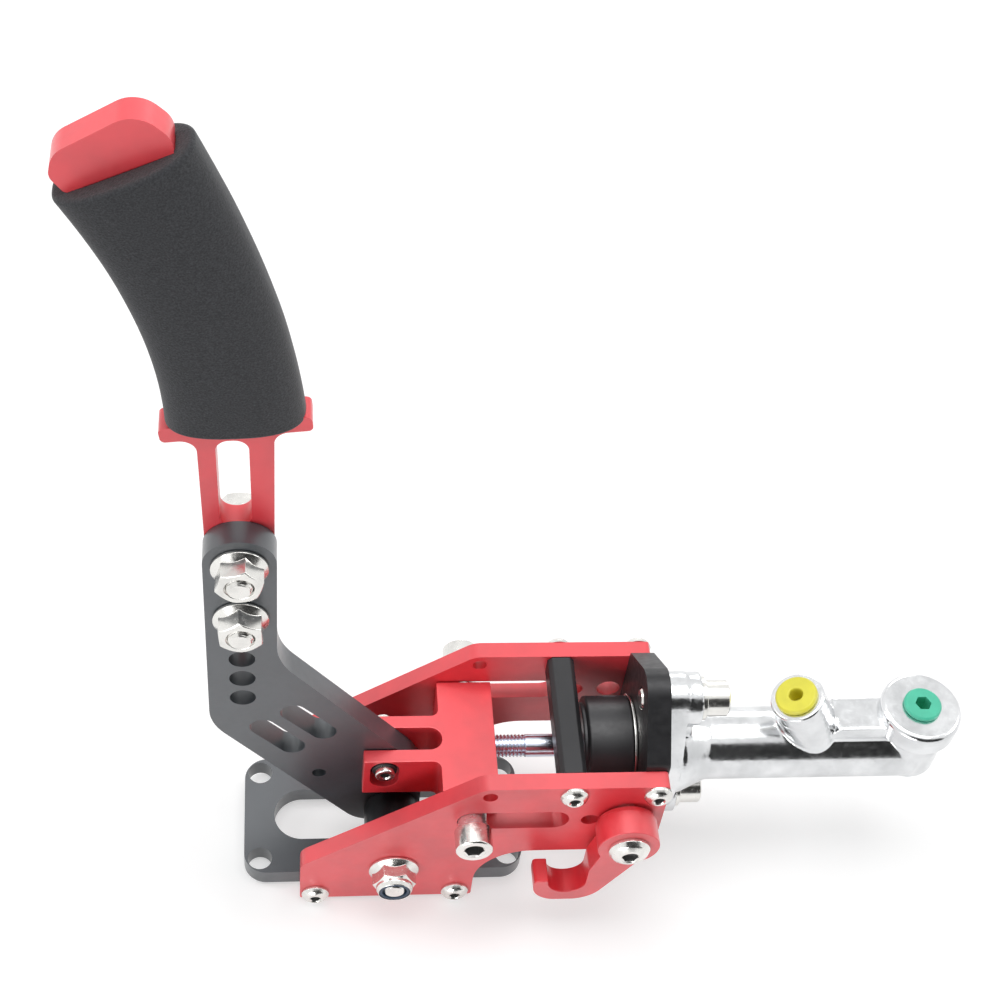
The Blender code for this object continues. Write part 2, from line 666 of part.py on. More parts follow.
def stem_loops():
    steps = 7
    lean = Vector((math.cos(GRIP_LEAN_LOW), math.sin(GRIP_LEAN_LOW)))
    rise = Vector((-lean.y, lean.x))
    collar_top = GRIP_FOOT - rise * GRIP_FIT
    left_top = collar_top - lean * COLLAR_HALF
    right_top = collar_top + lean * COLLAR_HALF
    left_low = left_top - rise * COLLAR_THICK
    right_low = right_top - rise * COLLAR_THICK
    core_half = GRIP_CORE_HALF
    right_turn = right_low - lean * (right_low.x - STEM_RIGHT) / lean.x
    left_turn = left_low + lean * (STEM_LEFT - left_low.x) / lean.x
    collar = rounded([
        (STEM_LEFT, STEM_BOTTOM, 5.0), (STEM_RIGHT, STEM_BOTTOM, 5.0),
        (right_turn.x, right_turn.y, 4.5), (right_low.x, right_low.y, 1.6), (right_top.x, right_top.y, 1.8),
        (*(collar_top + lean * core_half), 0),
    ])
    right_side = [grip_point(i / steps, core_half) for i in range(1, steps + 1)]
    per_mm = 1.0 / (GRIP_RADIUS * (GRIP_LEAN_HIGH - GRIP_LEAN_LOW))
    above = 1.0 + GRIP_FIT * per_mm
    head = rounded([
        (*grip_point(above, core_half - 0.6), 0),
        (*grip_point(above + 0.6 * HEAD_RISE * per_mm, core_half - 2.6), 8.0),
        (*grip_point(above + HEAD_RISE * per_mm, core_half - 13.0), 9.0),
        (*grip_point(above + HEAD_LEFT_RISE * per_mm, -core_half - 3.2), 8.0),
        (*grip_point(above + 1.0 * per_mm, -core_half - 1.6), 1.5),
        (*grip_point(above + 0.3 * per_mm, -core_half), 0),
    ])
    left_side = [grip_point(i / steps, -core_half) for i in range(steps - 1, 0, -1)]
    low = rounded([
        (*(collar_top - lean * core_half), 0), (left_top.x, left_top.y, 1.8), (left_low.x, left_low.y, 1.6),
        (left_turn.x, left_turn.y, 4.5), (STEM_LEFT, STEM_BOTTOM, 0),
    ])[:-1]
    outline = collar + right_side + head + left_side + low
    slot = rounded([
        (STEM_SLOT_X - STEM_SLOT_HALF, STEM_SLOT_LOW, 4.5), (STEM_SLOT_X + STEM_SLOT_HALF, STEM_SLOT_LOW, 4.5),
        (STEM_SLOT_X + STEM_SLOT_HALF - 0.6, STEM_SLOT_HIGH, 4.0),
        (STEM_SLOT_X - STEM_SLOT_HALF - 0.6, STEM_SLOT_HIGH - 0.6, 4.0),
    ])
    loops = [outline, slot]
    for z in BOLT_Z:
        loops.append(circle(BOLT_X, z, M8 / 2 + 2 * SCREW_PLAY, 16))
    return loops


def grip_section(half_width, half_depth, count=24):
    """Rounded oval, as pairs across the grip and along Y."""
    points = []
    for i in range(count):
        angle = 2 * math.pi * i / count
        c = math.cos(angle)
        s = math.sin(angle)
        points.append((
            half_width * math.copysign(abs(c) ** 0.78, c), half_depth * math.copysign(abs(s) ** 0.78, s)
        ))
    return points


def grip_mesh():
    """Foam tube swept along the grip's arc, with a flat slot through it for the stem."""
    steps = 7
    inner_width = GRIP_CORE_HALF + GRIP_FIT
    inner_depth = STEM_THICK / 2 + GRIP_FIT
    shape = bmesh.new()
    rings = []
    for k in range(steps + 1):
        t = k / steps
        flare = 0.5 * (2 * t - 1) ** 2
        for half_width, half_depth in (
            (GRIP_HALF_WIDTH - 0.5 + flare, GRIP_HALF_DEPTH - 0.3 + flare * 0.6), (inner_width, inner_depth)
        ):
            section = grip_section(half_width, half_depth)
            if half_width == inner_width:
                section = [
                    (max(-inner_width, min(inner_width, u * 1.6)), max(-inner_depth, min(inner_depth, v * 1.6)))
                    for u, v in section
                ]
            ring = []
            for u, v in section:
                p = grip_point(t, u)
                ring.append(shape.verts.new((p.x * MM, (STEM_MID + v) * MM, p.y * MM)))
            rings.append(ring)
    count = len(rings[0])
    for k in range(steps):
        for offset in (0, 1):
            lower = rings[2 * k + offset]
            upper = rings[2 * k + 2 + offset]
            for i in range(count):
                j = (i + 1) % count
                shape.faces.new((lower[i], lower[j], upper[j], upper[i]))
    for outer, inner in ((rings[0], rings[1]), (rings[-2], rings[-1])):
        for i in range(count):
            j = (i + 1) % count
            shape.faces.new((outer[i], outer[j], inner[j], inner[i]))
    bmesh.ops.remove_doubles(shape, verts=shape.verts, dist=1e-6)
    bmesh.ops.recalc_face_normals(shape, faces=shape.faces)
    mesh = bpy.data.meshes.new("foam_grip")
    shape.to_mesh(mesh)
    shape.free()
    return mesh


def build_lever():
    hub = anchor("lever_pivot", PIVOT_X, 0, PIVOT_Z)
    home = (PIVOT_X, 0, PIVOT_Z)
    mat = material("lever_arm", (0.06, 0.065, 0.07), 0.5, 0.7)
    add("lever_arm", slab_mesh("lever_arm", arm_loops(), "Y", -ARM_HALF, ARM_HALF, 0.4), mat, home, hub)

    mat = material("lever_stem", RED, 0.34, 0.85)
    back = STEM_FRONT + STEM_THICK
    add("lever_stem", slab_mesh("lever_stem", stem_loops(), "Y", STEM_FRONT, back, 0.0), mat, home, hub)

    mat = material("foam_grip", (0.03, 0.031, 0.034), 0.95, 0.0)
    add("foam_grip", grip_mesh(), mat, home, hub)

    mat = material("pivot_bush", (0.5, 0.33, 0.12), 0.4, 1.0)
    bore = M8 / 2 + BUSH_PLAY
    bush = turned_mesh(
        "pivot_bush",
        [(bore, -ARM_HALF), (BUSH_RADIUS, -ARM_HALF), (BUSH_RADIUS, ARM_HALF), (bore, ARM_HALF)],
        (0, 1, 0), home,
    )
    add("pivot_bush", bush, mat, home, hub)

    bolt = flange_bolt("stem_bolt", M8 - 0.1, back + GAP + ARM_HALF + NUT_HIGH + 1.6)
    nut = flange_nut("stem_nut", M8 / 2 + SCREW_PLAY, NUT_HIGH)
    for label, z, degrees in zip(("top", "low"), BOLT_Z, NUT_TURNS):
        mat = material("stem_bolt_" + label, STEEL, 0.25, 1.0)
        add("stem_bolt_" + label, moved(bolt, BOLT_X, back + GAP, z), mat, (BOLT_X, back, z), hub)
        mat = material("stem_nut_" + label, STEEL, 0.22, 1.0)
        turn = Matrix.Rotation(math.radians(30.0 + degrees), 4, "Y")
        seated = moved(nut, BOLT_X, -ARM_HALF - GAP, z, False, turn)
        add("stem_nut_" + label, seated, mat, (BOLT_X, -ARM_HALF, z), hub)

    mat = material("link_pin", STEEL, 0.25, 1.0)
    half = FORK_OUTER + LINK_OVERHANG
    pin = turned_mesh(
        "link_pin",
        [(0, -half), (LINK_DIA / 2 - 0.5, -half), (LINK_DIA / 2, -half + 0.5), (LINK_DIA / 2, half - 0.5),
         (LINK_DIA / 2 - 0.5, half), (0, half)],
        (0, 1, 0), (LINK_X, 0, LINK_Z),
    )
    key = slab_mesh("key", [hexagon(LINK_X, LINK_Z, 3.0)], "Y", -half - 1, -half + 2.5)
    add("link_pin", drill("link_pin", pin, [key]), mat, (LINK_X, 0, LINK_Z), hub)
    bore = LINK_DIA / 2 + RUN
    for name, s in (("link_roller_near", -1), ("link_roller_far", 1)):
        mat = material(name, (0.015, 0.015, 0.016), 0.45, 0.3)
        roller = turned_mesh(
            name,
            [(bore, ARM_HALF + 0.3), (LINK_ROLLER_DIA / 2, ARM_HALF + 0.3),
             (LINK_ROLLER_DIA / 2, FORK_OUTER + 0.1), (bore, FORK_OUTER + 0.1)],
            (0, s, 0), (LINK_X, 0, LINK_Z),
        )
        add(name, roller, mat, (LINK_X, s * (FORK_INNER + FORK_OUTER) / 2, LINK_Z), hub)


def build_crosshead():
    slide = anchor("crosshead_slide", GUIDE_X, 0, AXIS_Z)
    home = (GUIDE_X, 0, AXIS_Z)
    mat = material("yoke_block", RED, 0.36, 0.85)
    half = BLOCK_HALF
    gap_centre = FORK_SLOT_END - FORK_INNER
    arc = [
        (gap_centre + FORK_INNER * math.cos(a), FORK_INNER * math.sin(a))
        for a in [math.pi / 2 - i * math.pi / 8 for i in range(9)]
    ]
    outline = rounded([
        (BLOCK_RIGHT, -half, 0.6), (BLOCK_RIGHT, half, 0.6), (BLOCK_LEFT, half, 0.6),
        (BLOCK_LEFT, FORK_OUTER, 2.6), (FORK_LEFT, FORK_OUTER, 0.4), (FORK_LEFT, FORK_INNER, 0.4),
        *[(x, y, 0) for x, y in arc],
        (FORK_LEFT, -FORK_INNER, 0.4), (FORK_LEFT, -FORK_OUTER, 0.4), (BLOCK_LEFT, -FORK_OUTER, 2.6),
        (BLOCK_LEFT, -half, 0.6),
    ])
    block = slab_mesh("yoke_block", [outline], "Z", BLOCK_BOTTOM, BLOCK_TOP, 0.3)
    reach = math.hypot(LINK_X - PIVOT_X, LINK_Z - PIVOT_Z)
    lean = math.atan2(PIVOT_X - LINK_X, LINK_Z - PIVOT_Z)
    lowest = PIVOT_Z + reach * math.cos(math.radians(LEVER_DEG) - lean)
    highest = PIVOT_Z + reach
    slot_half = LINK_ROLLER_DIA / 2 + LINK_SLOT_PLAY
    slot = slab_mesh(
        "link_slot", [stadium(LINK_X, lowest + 0.3, LINK_X, highest - 0.3, slot_half)], "Y", -half, half
    )
    rod_hole = rod("rod_hole", ROD_RADIUS + SCREW_PLAY, (-1, 0, 0), (BLOCK_RIGHT + 1, 0, AXIS_Z), 15, 16)
    guides = [
        rod("guide_hole", M8 / 2 + SCREW_PLAY, (0, -s, 0), (GUIDE_X, s * (half + 1), AXIS_Z), 12.6, 16)
        for s in (-1, 1)
    ]
    add("yoke_block", drill("yoke_block", block, [slot, rod_hole, *guides]), mat, home, slide)

    screw = socket_screw("guide_screw", CAP_DIA, CAP_HIGH, False, M8 - 0.1, GUIDE_HEAD_SEAT - half + 11.0, 6.0)
    inner = M8 / 2 + SCREW_PLAY
    outer = GUIDE_ROLLER_DIA / 2
    for side, s, flip in (("near", -1, False), ("far", 1, True)):
        name = "guide_screw_" + side
        mat = material(name, STEEL, 0.2, 1.0)
        at = (GUIDE_X, s * GUIDE_HEAD_SEAT, AXIS_Z)
        add(name, moved(screw, *at, flip), mat, at, slide)
        name = "guide_roller_" + side
        mat = material(name, (0.1, 0.1, 0.1), 0.4, 0.8)
        low = half + GAP
        high = GUIDE_HEAD_SEAT - GAP
        roller = turned_mesh(
            name, [(inner, low), (outer, low), (outer, high), (inner, high)], (0, s, 0), (GUIDE_X, 0, AXIS_Z)
        )
        add(name, roller, mat, (GUIDE_X, s * (low + high) / 2, AXIS_Z), slide)

    mat = material("pushrod", (0.66, 0.67, 0.70), 0.24, 1.0)
    start = BLOCK_RIGHT - 13.6
    length = PISTON_LEFT + 5.5 - start
    push = turned_mesh(
        "pushrod",
        [(0, 0), (ROD_RADIUS - 0.5, 0), (ROD_RADIUS, 0.5), (ROD_RADIUS, length - 3.0),
         (ROD_RADIUS * 0.8, length - 1.0), (0, length)],
        (1, 0, 0), (start, 0, AXIS_Z), 16,
    )
    add("pushrod", push, mat, home, slide)

    mat = material("piston", (0.5, 0.5, 0.48), 0.3, 1.0)
    fit = CYL_BORE - RUN
    end = PISTON_LENGTH
    body = turned_mesh(
        "piston",
        [(0, 6.0), (ROD_RADIUS + 0.4, 6.0), (ROD_RADIUS + 1.0, 0), (fit, 0), (fit, 5), (6.5, 5.4), (6.5, 17.6),
         (fit, 18), (fit, 20), (6.4, 20), (6.4, 24), (fit, 24), (fit, end), (0, end)],
        (1, 0, 0), (PISTON_LEFT, 0, AXIS_Z), 16,
    )
    add("piston", body, mat, home, slide)
    mat = material("piston_seal", (0.01, 0.01, 0.01), 0.6, 0.0)
    seal = turned_mesh(
        "piston_seal", [(6.6, 20.2), (CYL_BORE - RUN, 20.2), (CYL_BORE - 0.4, 23.8), (6.6, 23.8)],
        (1, 0, 0), (PISTON_LEFT, 0, AXIS_Z), 16,
    )
    add("piston_seal", seal, mat, home, slide)


def build_hook():
    pivot = anchor("hook_pivot", HOOK_X, -HOOK_NEAR + HOOK_THICK / 2, AXIS_Z)
    home = (HOOK_X, -HOOK_NEAR + HOOK_THICK / 2, AXIS_Z)
    mat = material("lock_hook", RED, 0.34, 0.85)
    throat_x = HOOK_X - THROAT_BACK
    throat_z = AXIS_Z - THROAT_DROP
    throat_r = THROAT_RADIUS
    arc = [
        (throat_x + throat_r * math.cos(a), throat_z + throat_r * math.sin(a), 0)
        for a in [-i * math.pi / 10 for i in range(11)]
    ]
    boss = [
        (HOOK_X + HOOK_BOSS * math.cos(a), AXIS_Z + HOOK_BOSS * math.sin(a), 0)
        for a in [math.radians(-67 + i * 277 / 16) for i in range(17)]
    ]
    left = throat_x - throat_r - HOOK_TIP
    low = throat_z - throat_r - HOOK_BELLY
    outline = rounded([
        *boss, (throat_x + throat_r, throat_z + 8.0, 6.0),
        *arc, (throat_x - throat_r, throat_z + 1.0, 1.0), (left, throat_z + 1.0, 1.4),
        (left, low, 8.5), (throat_x + throat_r + 2.3, low, 11.0),
    ])
    far = -HOOK_FAR
    body = slab_mesh("lock_hook", [outline], "Y", -HOOK_NEAR, far, 0.3)
    step = rod("hook_step", HOOK_BOSS - 0.6, (0, 1, 0), (HOOK_X, far - 1.0, AXIS_Z), HOOK_STEP + 1.0, 20)
    bore = rod("hook_bore", M8 / 2 + BUSH_PLAY, (0, 1, 0), (HOOK_X, -HOOK_NEAR - 1, AXIS_Z), HOOK_THICK + 4, 16)
    add("lock_hook", drill("lock_hook", weld("lock_hook", body, [step]), [bore]), mat, home, pivot)

    mat = material("hook_washer", STEEL, 0.3, 1.0)
    washer = turned_mesh(
        "hook_washer",
        [(M8 / 2 + 0.2, 0), (7.5, 0), (7.5, WASHER_THICK), (M8 / 2 + 0.2, WASHER_THICK)],
        (0, 1, 0), (HOOK_X, far + HOOK_STEP + GAP / 2, AXIS_Z),
    )
    add("hook_washer", washer, mat, (HOOK_X, -PLATE_OUTER, AXIS_Z))
    mat = material("hook_screw", STEEL, 0.22, 1.0)
    length = HOOK_NEAR + GAP / 2 - PLATE_INNER - 0.5
    screw = socket_screw("hook_screw", HOOK_HEAD_DIA, HOOK_HEAD_HIGH, True, M8 - 0.1, length, 5.0, 16)
    at = (HOOK_X, -HOOK_NEAR - GAP / 2, AXIS_Z)
    add("hook_screw", moved(screw, *at), mat, at)


def build_cylinder():
    mat = material("master_cylinder", (0.72, 0.72, 0.72), 0.18, 1.0)
    nose = BOSS_RADIUS
    half = FLANGE_HALF
    outline = rounded([
        (half, AXIS_Z + 10, 6), (nose * 0.62, AXIS_Z + CYL_BOLT_RISE + nose, nose * 0.8),
        (-nose * 0.62, AXIS_Z + CYL_BOLT_RISE + nose, nose * 0.8), (-half, AXIS_Z + 10, 6),
        (-half, AXIS_Z - 10, 6), (-nose * 0.62, AXIS_Z - CYL_BOLT_RISE - nose, nose * 0.8),
        (nose * 0.62, AXIS_Z - CYL_BOLT_RISE - nose, nose * 0.8), (half, AXIS_Z - 10, 6),
    ])
    flange = slab_mesh("master_cylinder", [outline], "X", FLANGE_LEFT, FLANGE_LEFT + FLANGE_THICK, 0.5)
    face = FLANGE_LEFT + FLANGE_THICK
    barrel = turned_mesh(
        "barrel",
        [(0, BULKHEAD_X - 3), (SPIGOT_RADIUS, BULKHEAD_X - 3), (SPIGOT_RADIUS, FLANGE_LEFT + 2),
         (HUB_RADIUS, FLANGE_LEFT + 2), (HUB_RADIUS, face + 2.0), (CYL_RADIUS + 1.2, face + 8.0),
         (CYL_RADIUS, face + 11.5), (CYL_RADIUS, CYL_END - 3), (CYL_RADIUS - 3, CYL_END), (0, CYL_END)],
        (1, 0, 0), (0, 0, AXIS_Z), 24,
    )
    bosses = [
        rod("boss", BOSS_RADIUS - 0.4, (1, 0, 0), (FLANGE_LEFT + 2, 0, AXIS_Z + s * CYL_BOLT_RISE), BOSS_THICK - 2, 20)
        for s in (-1, 1)
    ]
    web = slab_mesh(
        "web",
        [[(FLANGE_LEFT + 2, AXIS_Z - CYL_BOLT_RISE), (FLANGE_RIGHT - 1.5, AXIS_Z - CYL_BOLT_RISE),
          (FLANGE_RIGHT - 1.5, AXIS_Z + CYL_BOLT_RISE), (FLANGE_LEFT + 2, AXIS_Z + CYL_BOLT_RISE)]],
        "Y", -RIB_HALF, RIB_HALF,
    )
    top = OUTLET_TOP - AXIS_Z
    outlet = turned_mesh(
        "outlet",
        [(0, -8), (OUTLET_NECK - 1.9, -8), (OUTLET_NECK, -6), (OUTLET_NECK, top - 11.0), (OUTLET_RADIUS, top - 8.5),
         (OUTLET_RADIUS, top - 2.0), (OUTLET_RADIUS - 2.0, top), (0, top)],
        (0, 0, 1), (OUTLET_X, 0, AXIS_Z), 24,
    )
    lean = (-math.sin(INLET_LEAN), 0, math.cos(INLET_LEAN))
    inlet = turned_mesh(
        "inlet",
        [(0, 0), (INLET_RADIUS, 0), (INLET_RADIUS, INLET_LENGTH - 1.2), (INLET_RADIUS - 1.2, INLET_LENGTH),
         (0, INLET_LENGTH)],
        lean, (INLET_BASE_X, 0, AXIS_Z), 20,
    )
    rib = slab_mesh(
        "rib",
        [rounded([(INLET_BASE_X - 4, AXIS_Z + 5, 0), (OUTLET_X, AXIS_Z + 5, 0), (OUTLET_X, RIB_TOP, 0),
                  (INLET_BASE_X + 3, RIB_TOP, 3)])],
        "Y", -RIB_HALF, RIB_HALF,
    )
    body = weld("master_cylinder", flange, [barrel, *bosses, web, rib, outlet, inlet])
    bore = rod("bore", CYL_BORE, (1, 0, 0), (BULKHEAD_X - 4, 0, AXIS_Z), BORE_END - BULKHEAD_X + 4, 32)
    tip = Vector((INLET_BASE_X, 0, AXIS_Z)) + Vector(lean) * (INLET_LENGTH + 1)
    inlet_port = rod("inlet_port", PORT_RADIUS, tuple(-c for c in lean), tip, INLET_LENGTH - 3, 16)
    outlet_port = rod("outlet_port", PORT_RADIUS, (0, 0, -1), (OUTLET_X, 0, OUTLET_TOP + 1), top, 16)
    drilling = rod("drilling", 1.6, (1, 0, 0), (BORE_END - 2, 0, AXIS_Z + 2), OUTLET_X - BORE_END + 2, 10)
    bolt_holes = [
        rod("bolt_hole", M8 / 2 + SCREW_PLAY, (1, 0, 0), (BULKHEAD_X, 0, AXIS_Z + s * CYL_BOLT_RISE), 30, 16)
        for s in (-1, 1)
    ]
    body = drill("master_cylinder", body, [bore, inlet_port, outlet_port, drilling, *bolt_holes])
    add("master_cylinder", body, mat, (FLANGE_LEFT, 0, AXIS_Z))

    mat = material("inlet_plug", (0.85, 0.78, 0.05), 0.45, 0.0)
    seat = INLET_LENGTH + GAP
    plug = turned_mesh(
        "inlet_plug",
        [(0, seat - 5), (2.4, seat - 5), (2.4, seat + 1.8), (6.6, seat + 1.8), (7.2, seat + 1.2), (7.2, seat),
         (PORT_RADIUS - 0.25, seat), (PORT_RADIUS - 0.25, seat - 7.5), (0, seat - 7.5)],
        lean, (INLET_BASE_X, 0, AXIS_Z), 20,
    )
    add("inlet_plug", plug, mat, Vector((INLET_BASE_X, 0, AXIS_Z)) + Vector(lean) * INLET_LENGTH)
    mat = material("outlet_plug", (0.05, 0.62, 0.42), 0.45, 0.0)
    seat = OUTLET_TOP + GAP
    plug = turned_mesh(
        "outlet_plug",
        [(0, -7.5), (PORT_RADIUS - 0.25, -7.5), (PORT_RADIUS - 0.25, 0), (6.5, 0), (6.5, 1.2), (5.9, 1.8), (0, 1.8)],
        (0, 0, 1), (OUTLET_X, 0, seat), 20,
    )
    key = slab_mesh("key", [hexagon(OUTLET_X, 0, 5.0)], "Z", seat - 5, seat + 3)
    add("outlet_plug", drill("outlet_plug", plug, [key]), mat, (OUTLET_X, 0, OUTLET_TOP))

    screw = socket_screw("flange_screw", CAP_DIA, CAP_HIGH, False, M8 - 0.1, 22.0, 6.0)
    aim = Matrix.Rotation(math.pi / 2, 4, "Z")
    for label, s in (("top", 1), ("low", -1)):
        z = AXIS_Z + s * CYL_BOLT_RISE
        mat = material("flange_washer_" + label, STEEL, 0.3, 1.0)
        washer = turned_mesh(
            "washer", [(M8 / 2 + 0.2, 0), (7.4, 0), (7.4, 1.6), (M8 / 2 + 0.2, 1.6)],
            (1, 0, 0), (FLANGE_RIGHT + GAP, 0, z),
        )
        add("flange_washer_" + label, washer, mat, (FLANGE_RIGHT, 0, z))
        mat = material("flange_screw_" + label, STEEL, 0.2, 1.0)
        at = (FLANGE_RIGHT + 2 * GAP + 1.6, 0, z)
        add("flange_screw_" + label, moved(screw, *at, False, aim), mat, at)

    mat = material("dust_boot", (0.03, 0.03, 0.032), 0.45, 0.1)
    r = BOOT_RADIUS
    right = BOOT_RIGHT
    boot = turned_mesh(
        "dust_boot",
        [(ROD_RADIUS + 0.3, BOOT_LEFT), (r - 2.2, BOOT_LEFT), (r - 2.2, BOOT_LEFT + 1.3), (r, BOOT_LEFT + 1.7),
         (r, right), (r - 2.0, right), (r - 2.0, BOOT_LEFT + 8.0), (r - 4.6, BOOT_LEFT + 6.0),
         (r - 4.6, BOOT_LEFT + 1.6), (ROD_RADIUS + 0.3, BOOT_LEFT + 1.6)],
        (1, 0, 0), (0, 0, AXIS_Z), 20,
    )
    add("dust_boot", boot, mat, (BOOT_LEFT, 0, AXIS_Z))
    mat = material("boot_ring", STEEL, 0.25, 1.0)
    ring = turned_mesh(
        "boot_ring", [(r - 2.8, right + GAP), (r + 0.6, right + GAP), (r + 0.6, right + 1.2), (r - 2.8, right + 1.2)],
        (1, 0, 0), (0, 0, AXIS_Z), 24,
    )
    add("boot_ring", ring, mat, (right, 0, AXIS_Z))

    mat = material("return_spring", (0.5, 0.5, 0.5), 0.3, 1.0)
    add("return_spring", spring_mesh(), mat, (BORE_END - 10, 0, AXIS_Z))


def spring_mesh():
    """Coil at its compressed length, at the closed end of the bore."""
    wire = 0.9
    radius = CYL_BORE - wire - 0.3
    turns = 4
    per_turn = 10
    pitch = 4.4
    start = BORE_END - 0.3 - wire - turns * pitch
    shape = bmesh.new()
    rings = []
    for i in range(turns * per_turn + 1):
        angle = 2 * math.pi * i / per_turn
        out = Vector((0, math.cos(angle), math.sin(angle)))
        centre = Vector((start + pitch * i / per_turn, 0, AXIS_Z)) + out * radius
        ring = []
        for k in range(5):
            a = 0.4 * math.pi * k
            ring.append(shape.verts.new((centre + out * wire * math.cos(a) + Vector((wire * math.sin(a), 0, 0))) * MM))
        rings.append(ring)
    for lower, upper in zip(rings, rings[1:]):
        for k in range(5):
            shape.faces.new((lower[k], lower[(k + 1) % 5], upper[(k + 1) % 5], upper[k]))
    shape.faces.new(rings[0])
    shape.faces.new(rings[-1])
    bmesh.ops.recalc_face_normals(shape, faces=shape.faces)
    mesh = bpy.data.meshes.new("return_spring")
    shape.to_mesh(mesh)
    shape.free()
    return mesh


build_base()
build_side_plates()
build_cross_pieces()
build_frame_screws()
build_pivot()
build_lever()
build_crosshead()
build_hook()
build_cylinder()
bpy.context.view_layer.update()
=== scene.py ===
"""Looks for the hydraulic handbrake lever.

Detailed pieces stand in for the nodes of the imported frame, in soft studio light and with one camera.
"""

import math

import bmesh
import bpy
from mathutils import Matrix, Vector, noise


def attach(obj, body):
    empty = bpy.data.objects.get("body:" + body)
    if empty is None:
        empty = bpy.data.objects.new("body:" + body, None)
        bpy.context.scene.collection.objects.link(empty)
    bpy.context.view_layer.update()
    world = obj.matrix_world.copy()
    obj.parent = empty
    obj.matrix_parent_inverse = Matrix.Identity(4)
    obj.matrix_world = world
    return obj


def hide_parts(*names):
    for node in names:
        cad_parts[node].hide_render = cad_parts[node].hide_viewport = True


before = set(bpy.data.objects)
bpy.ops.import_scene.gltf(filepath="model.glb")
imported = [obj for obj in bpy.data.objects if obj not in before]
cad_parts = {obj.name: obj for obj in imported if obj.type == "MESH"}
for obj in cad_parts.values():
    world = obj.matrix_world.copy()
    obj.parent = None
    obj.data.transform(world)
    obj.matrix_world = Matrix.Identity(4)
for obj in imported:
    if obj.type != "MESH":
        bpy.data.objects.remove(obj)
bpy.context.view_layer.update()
MM = 0.001

# Sizes shared with the CAD, in millimetres
AXIS_Z = 50.5
PIVOT = (2.3, 19.4)
LINK = (-1.4, 50.6)
GUIDE_X = 27.0
HOOK_X = 78.6
BAR = (59.5, 65.9)
BULKHEAD_X = 87.5
PLATE_IN = 23.2
PLATE_OUT = 29.2
PLATE_THICK = 6.0
GUIDE_SLOT_RADIUS = 5.1
GUIDE_SLOT_RIGHT = 59.6
HEAD_SEAT = 29.3
FOOT_X = 24.3
FOOT_Z = 3.5
FRAME_SCREWS = {
    "foot_screw_left": (-FOOT_X, FOOT_Z), "foot_screw_right": (FOOT_X, FOOT_Z),
    "bar_screw": BAR, "bulkhead_screw": (BULKHEAD_X, BAR[1]),
}
ARM_HALF = 4.0
BOLT_X = -48.4
BOLT_Z = (156.8, 131.5)
SPARE_Z = (120.4, 109.7, 99.1, 88.3)
STEM_FRONT = 4.2
STEM_BACK = 12.2
STEM_MID = 8.2
STEM_LEFT = -59.6
STEM_RIGHT = -38.2
STEM_BOTTOM = 118.0
COLLAR_LEAN = math.radians(7.4)
COLLAR_TOP = Vector((-49.1, 210.9))
COLLAR_HALF = 21.2
COLLAR_THICK = 5.6
CORE_HALF = 14.3
GRIP_FOOT = Vector((-48.7, 210.4))
GRIP_LENGTH = 93.0
GRIP_LEAN_LOW = 3.8
GRIP_LEAN_HIGH = 26.5
GRIP_HALF_WIDTH = 18.4
GRIP_HALF_DEPTH = 9.6
GRIP_FLARE = 1.0
CYL_BOLT_RISE = 28.0
CYL_AXIS = (0, 0, AXIS_Z)
INLET_FOOT = (150, 0, AXIS_Z)
INLET_LEAN = math.radians(25)
OUTLET_X = 182.4
PISTON_X = 100
PISTON_RADIUS = 9.44

# Standard fasteners, in millimetres; holes, shanks and bores are radii
M5_HOLE = 2.6
M5_KEY = 3.2
M8_HOLE = 4.1
M8_SHANK = 3.95
M8_BORE = 4.05
M8_PITCH = 1.25
M8_FLATS = 13.0
M8_KEY = 6.0
HOOK_KEY = 5.0
PIN_KEY = 3.0

# Directions and turns
RIGHT = (1, 0, 0)
AWAY = (0, 1, 0)
NEAR = (0, -1, 0)
UP = (0, 0, 1)
HERE = (0, 0, 0)
HALF_TURN = Matrix.Rotation(math.pi, 4, "Z")
QUARTER = Matrix.Rotation(math.pi / 2, 4, "Z")


# Outlines


def rounded(corners, step_deg=6.0):
    """Closed outline with arcs from corners (x, y, radius); a radius is cut down where an edge is short."""
    points = []
    count = len(corners)
    for i in range(count):
        here = Vector(corners[i][:2])
        before = Vector(corners[i - 1][:2])
        after = Vector(corners[(i + 1) % count][:2])
        radius = corners[i][2] if len(corners[i]) > 2 else 0
        if radius <= 0 or (before - here).length < 1e-6 or (after - here).length < 1e-6:
            points.append(here)
            continue
        to_before = (before - here).normalized()
        to_after = (after - here).normalized()
        half = math.acos(max(-1.0, min(1.0, to_before.dot(to_after)))) / 2
        if half > math.radians(89.0):
            points.append(here)
            continue
        cut = min(radius / math.tan(half), 0.49 * (before - here).length, 0.49 * (after - here).length)
        if radius / math.tan(half) > cut and radius > 3.0:
            cut = min(radius / math.tan(half), 0.999 * (before - here).length, 0.999 * (after - here).length)
        radius = cut * math.tan(half)
        centre = here + (to_before + to_after).normalized() * (radius / math.sin(half))
        start = here + to_before * cut - centre
        end = here + to_after * cut - centre
        sweep = math.atan2(start.x * end.y - start.y * end.x, start.dot(end))
        steps = max(2, math.ceil(abs(math.degrees(sweep)) / step_deg))
        for k in range(steps + 1):
            points.append(centre + Matrix.Rotation(sweep * k / steps, 2) @ start)
    clean = []
    for point in points:
        if not clean or (point - clean[-1]).length > 1e-4:
            clean.append(point)
    return clean


def circle(x, y, radius, count=64):
    angles = [2 * math.pi * (i + 0.25) / count for i in range(count)]
    return [Vector((x + radius * math.cos(a), y + radius * math.sin(a))) for a in angles]


def hexagon(x, y, flats, turn=0.0):
    return [
        Vector((x, y)) + Matrix.Rotation(turn + i * math.pi / 3, 2) @ Vector((flats / math.sqrt(3), 0))
        for i in range(6)
    ]


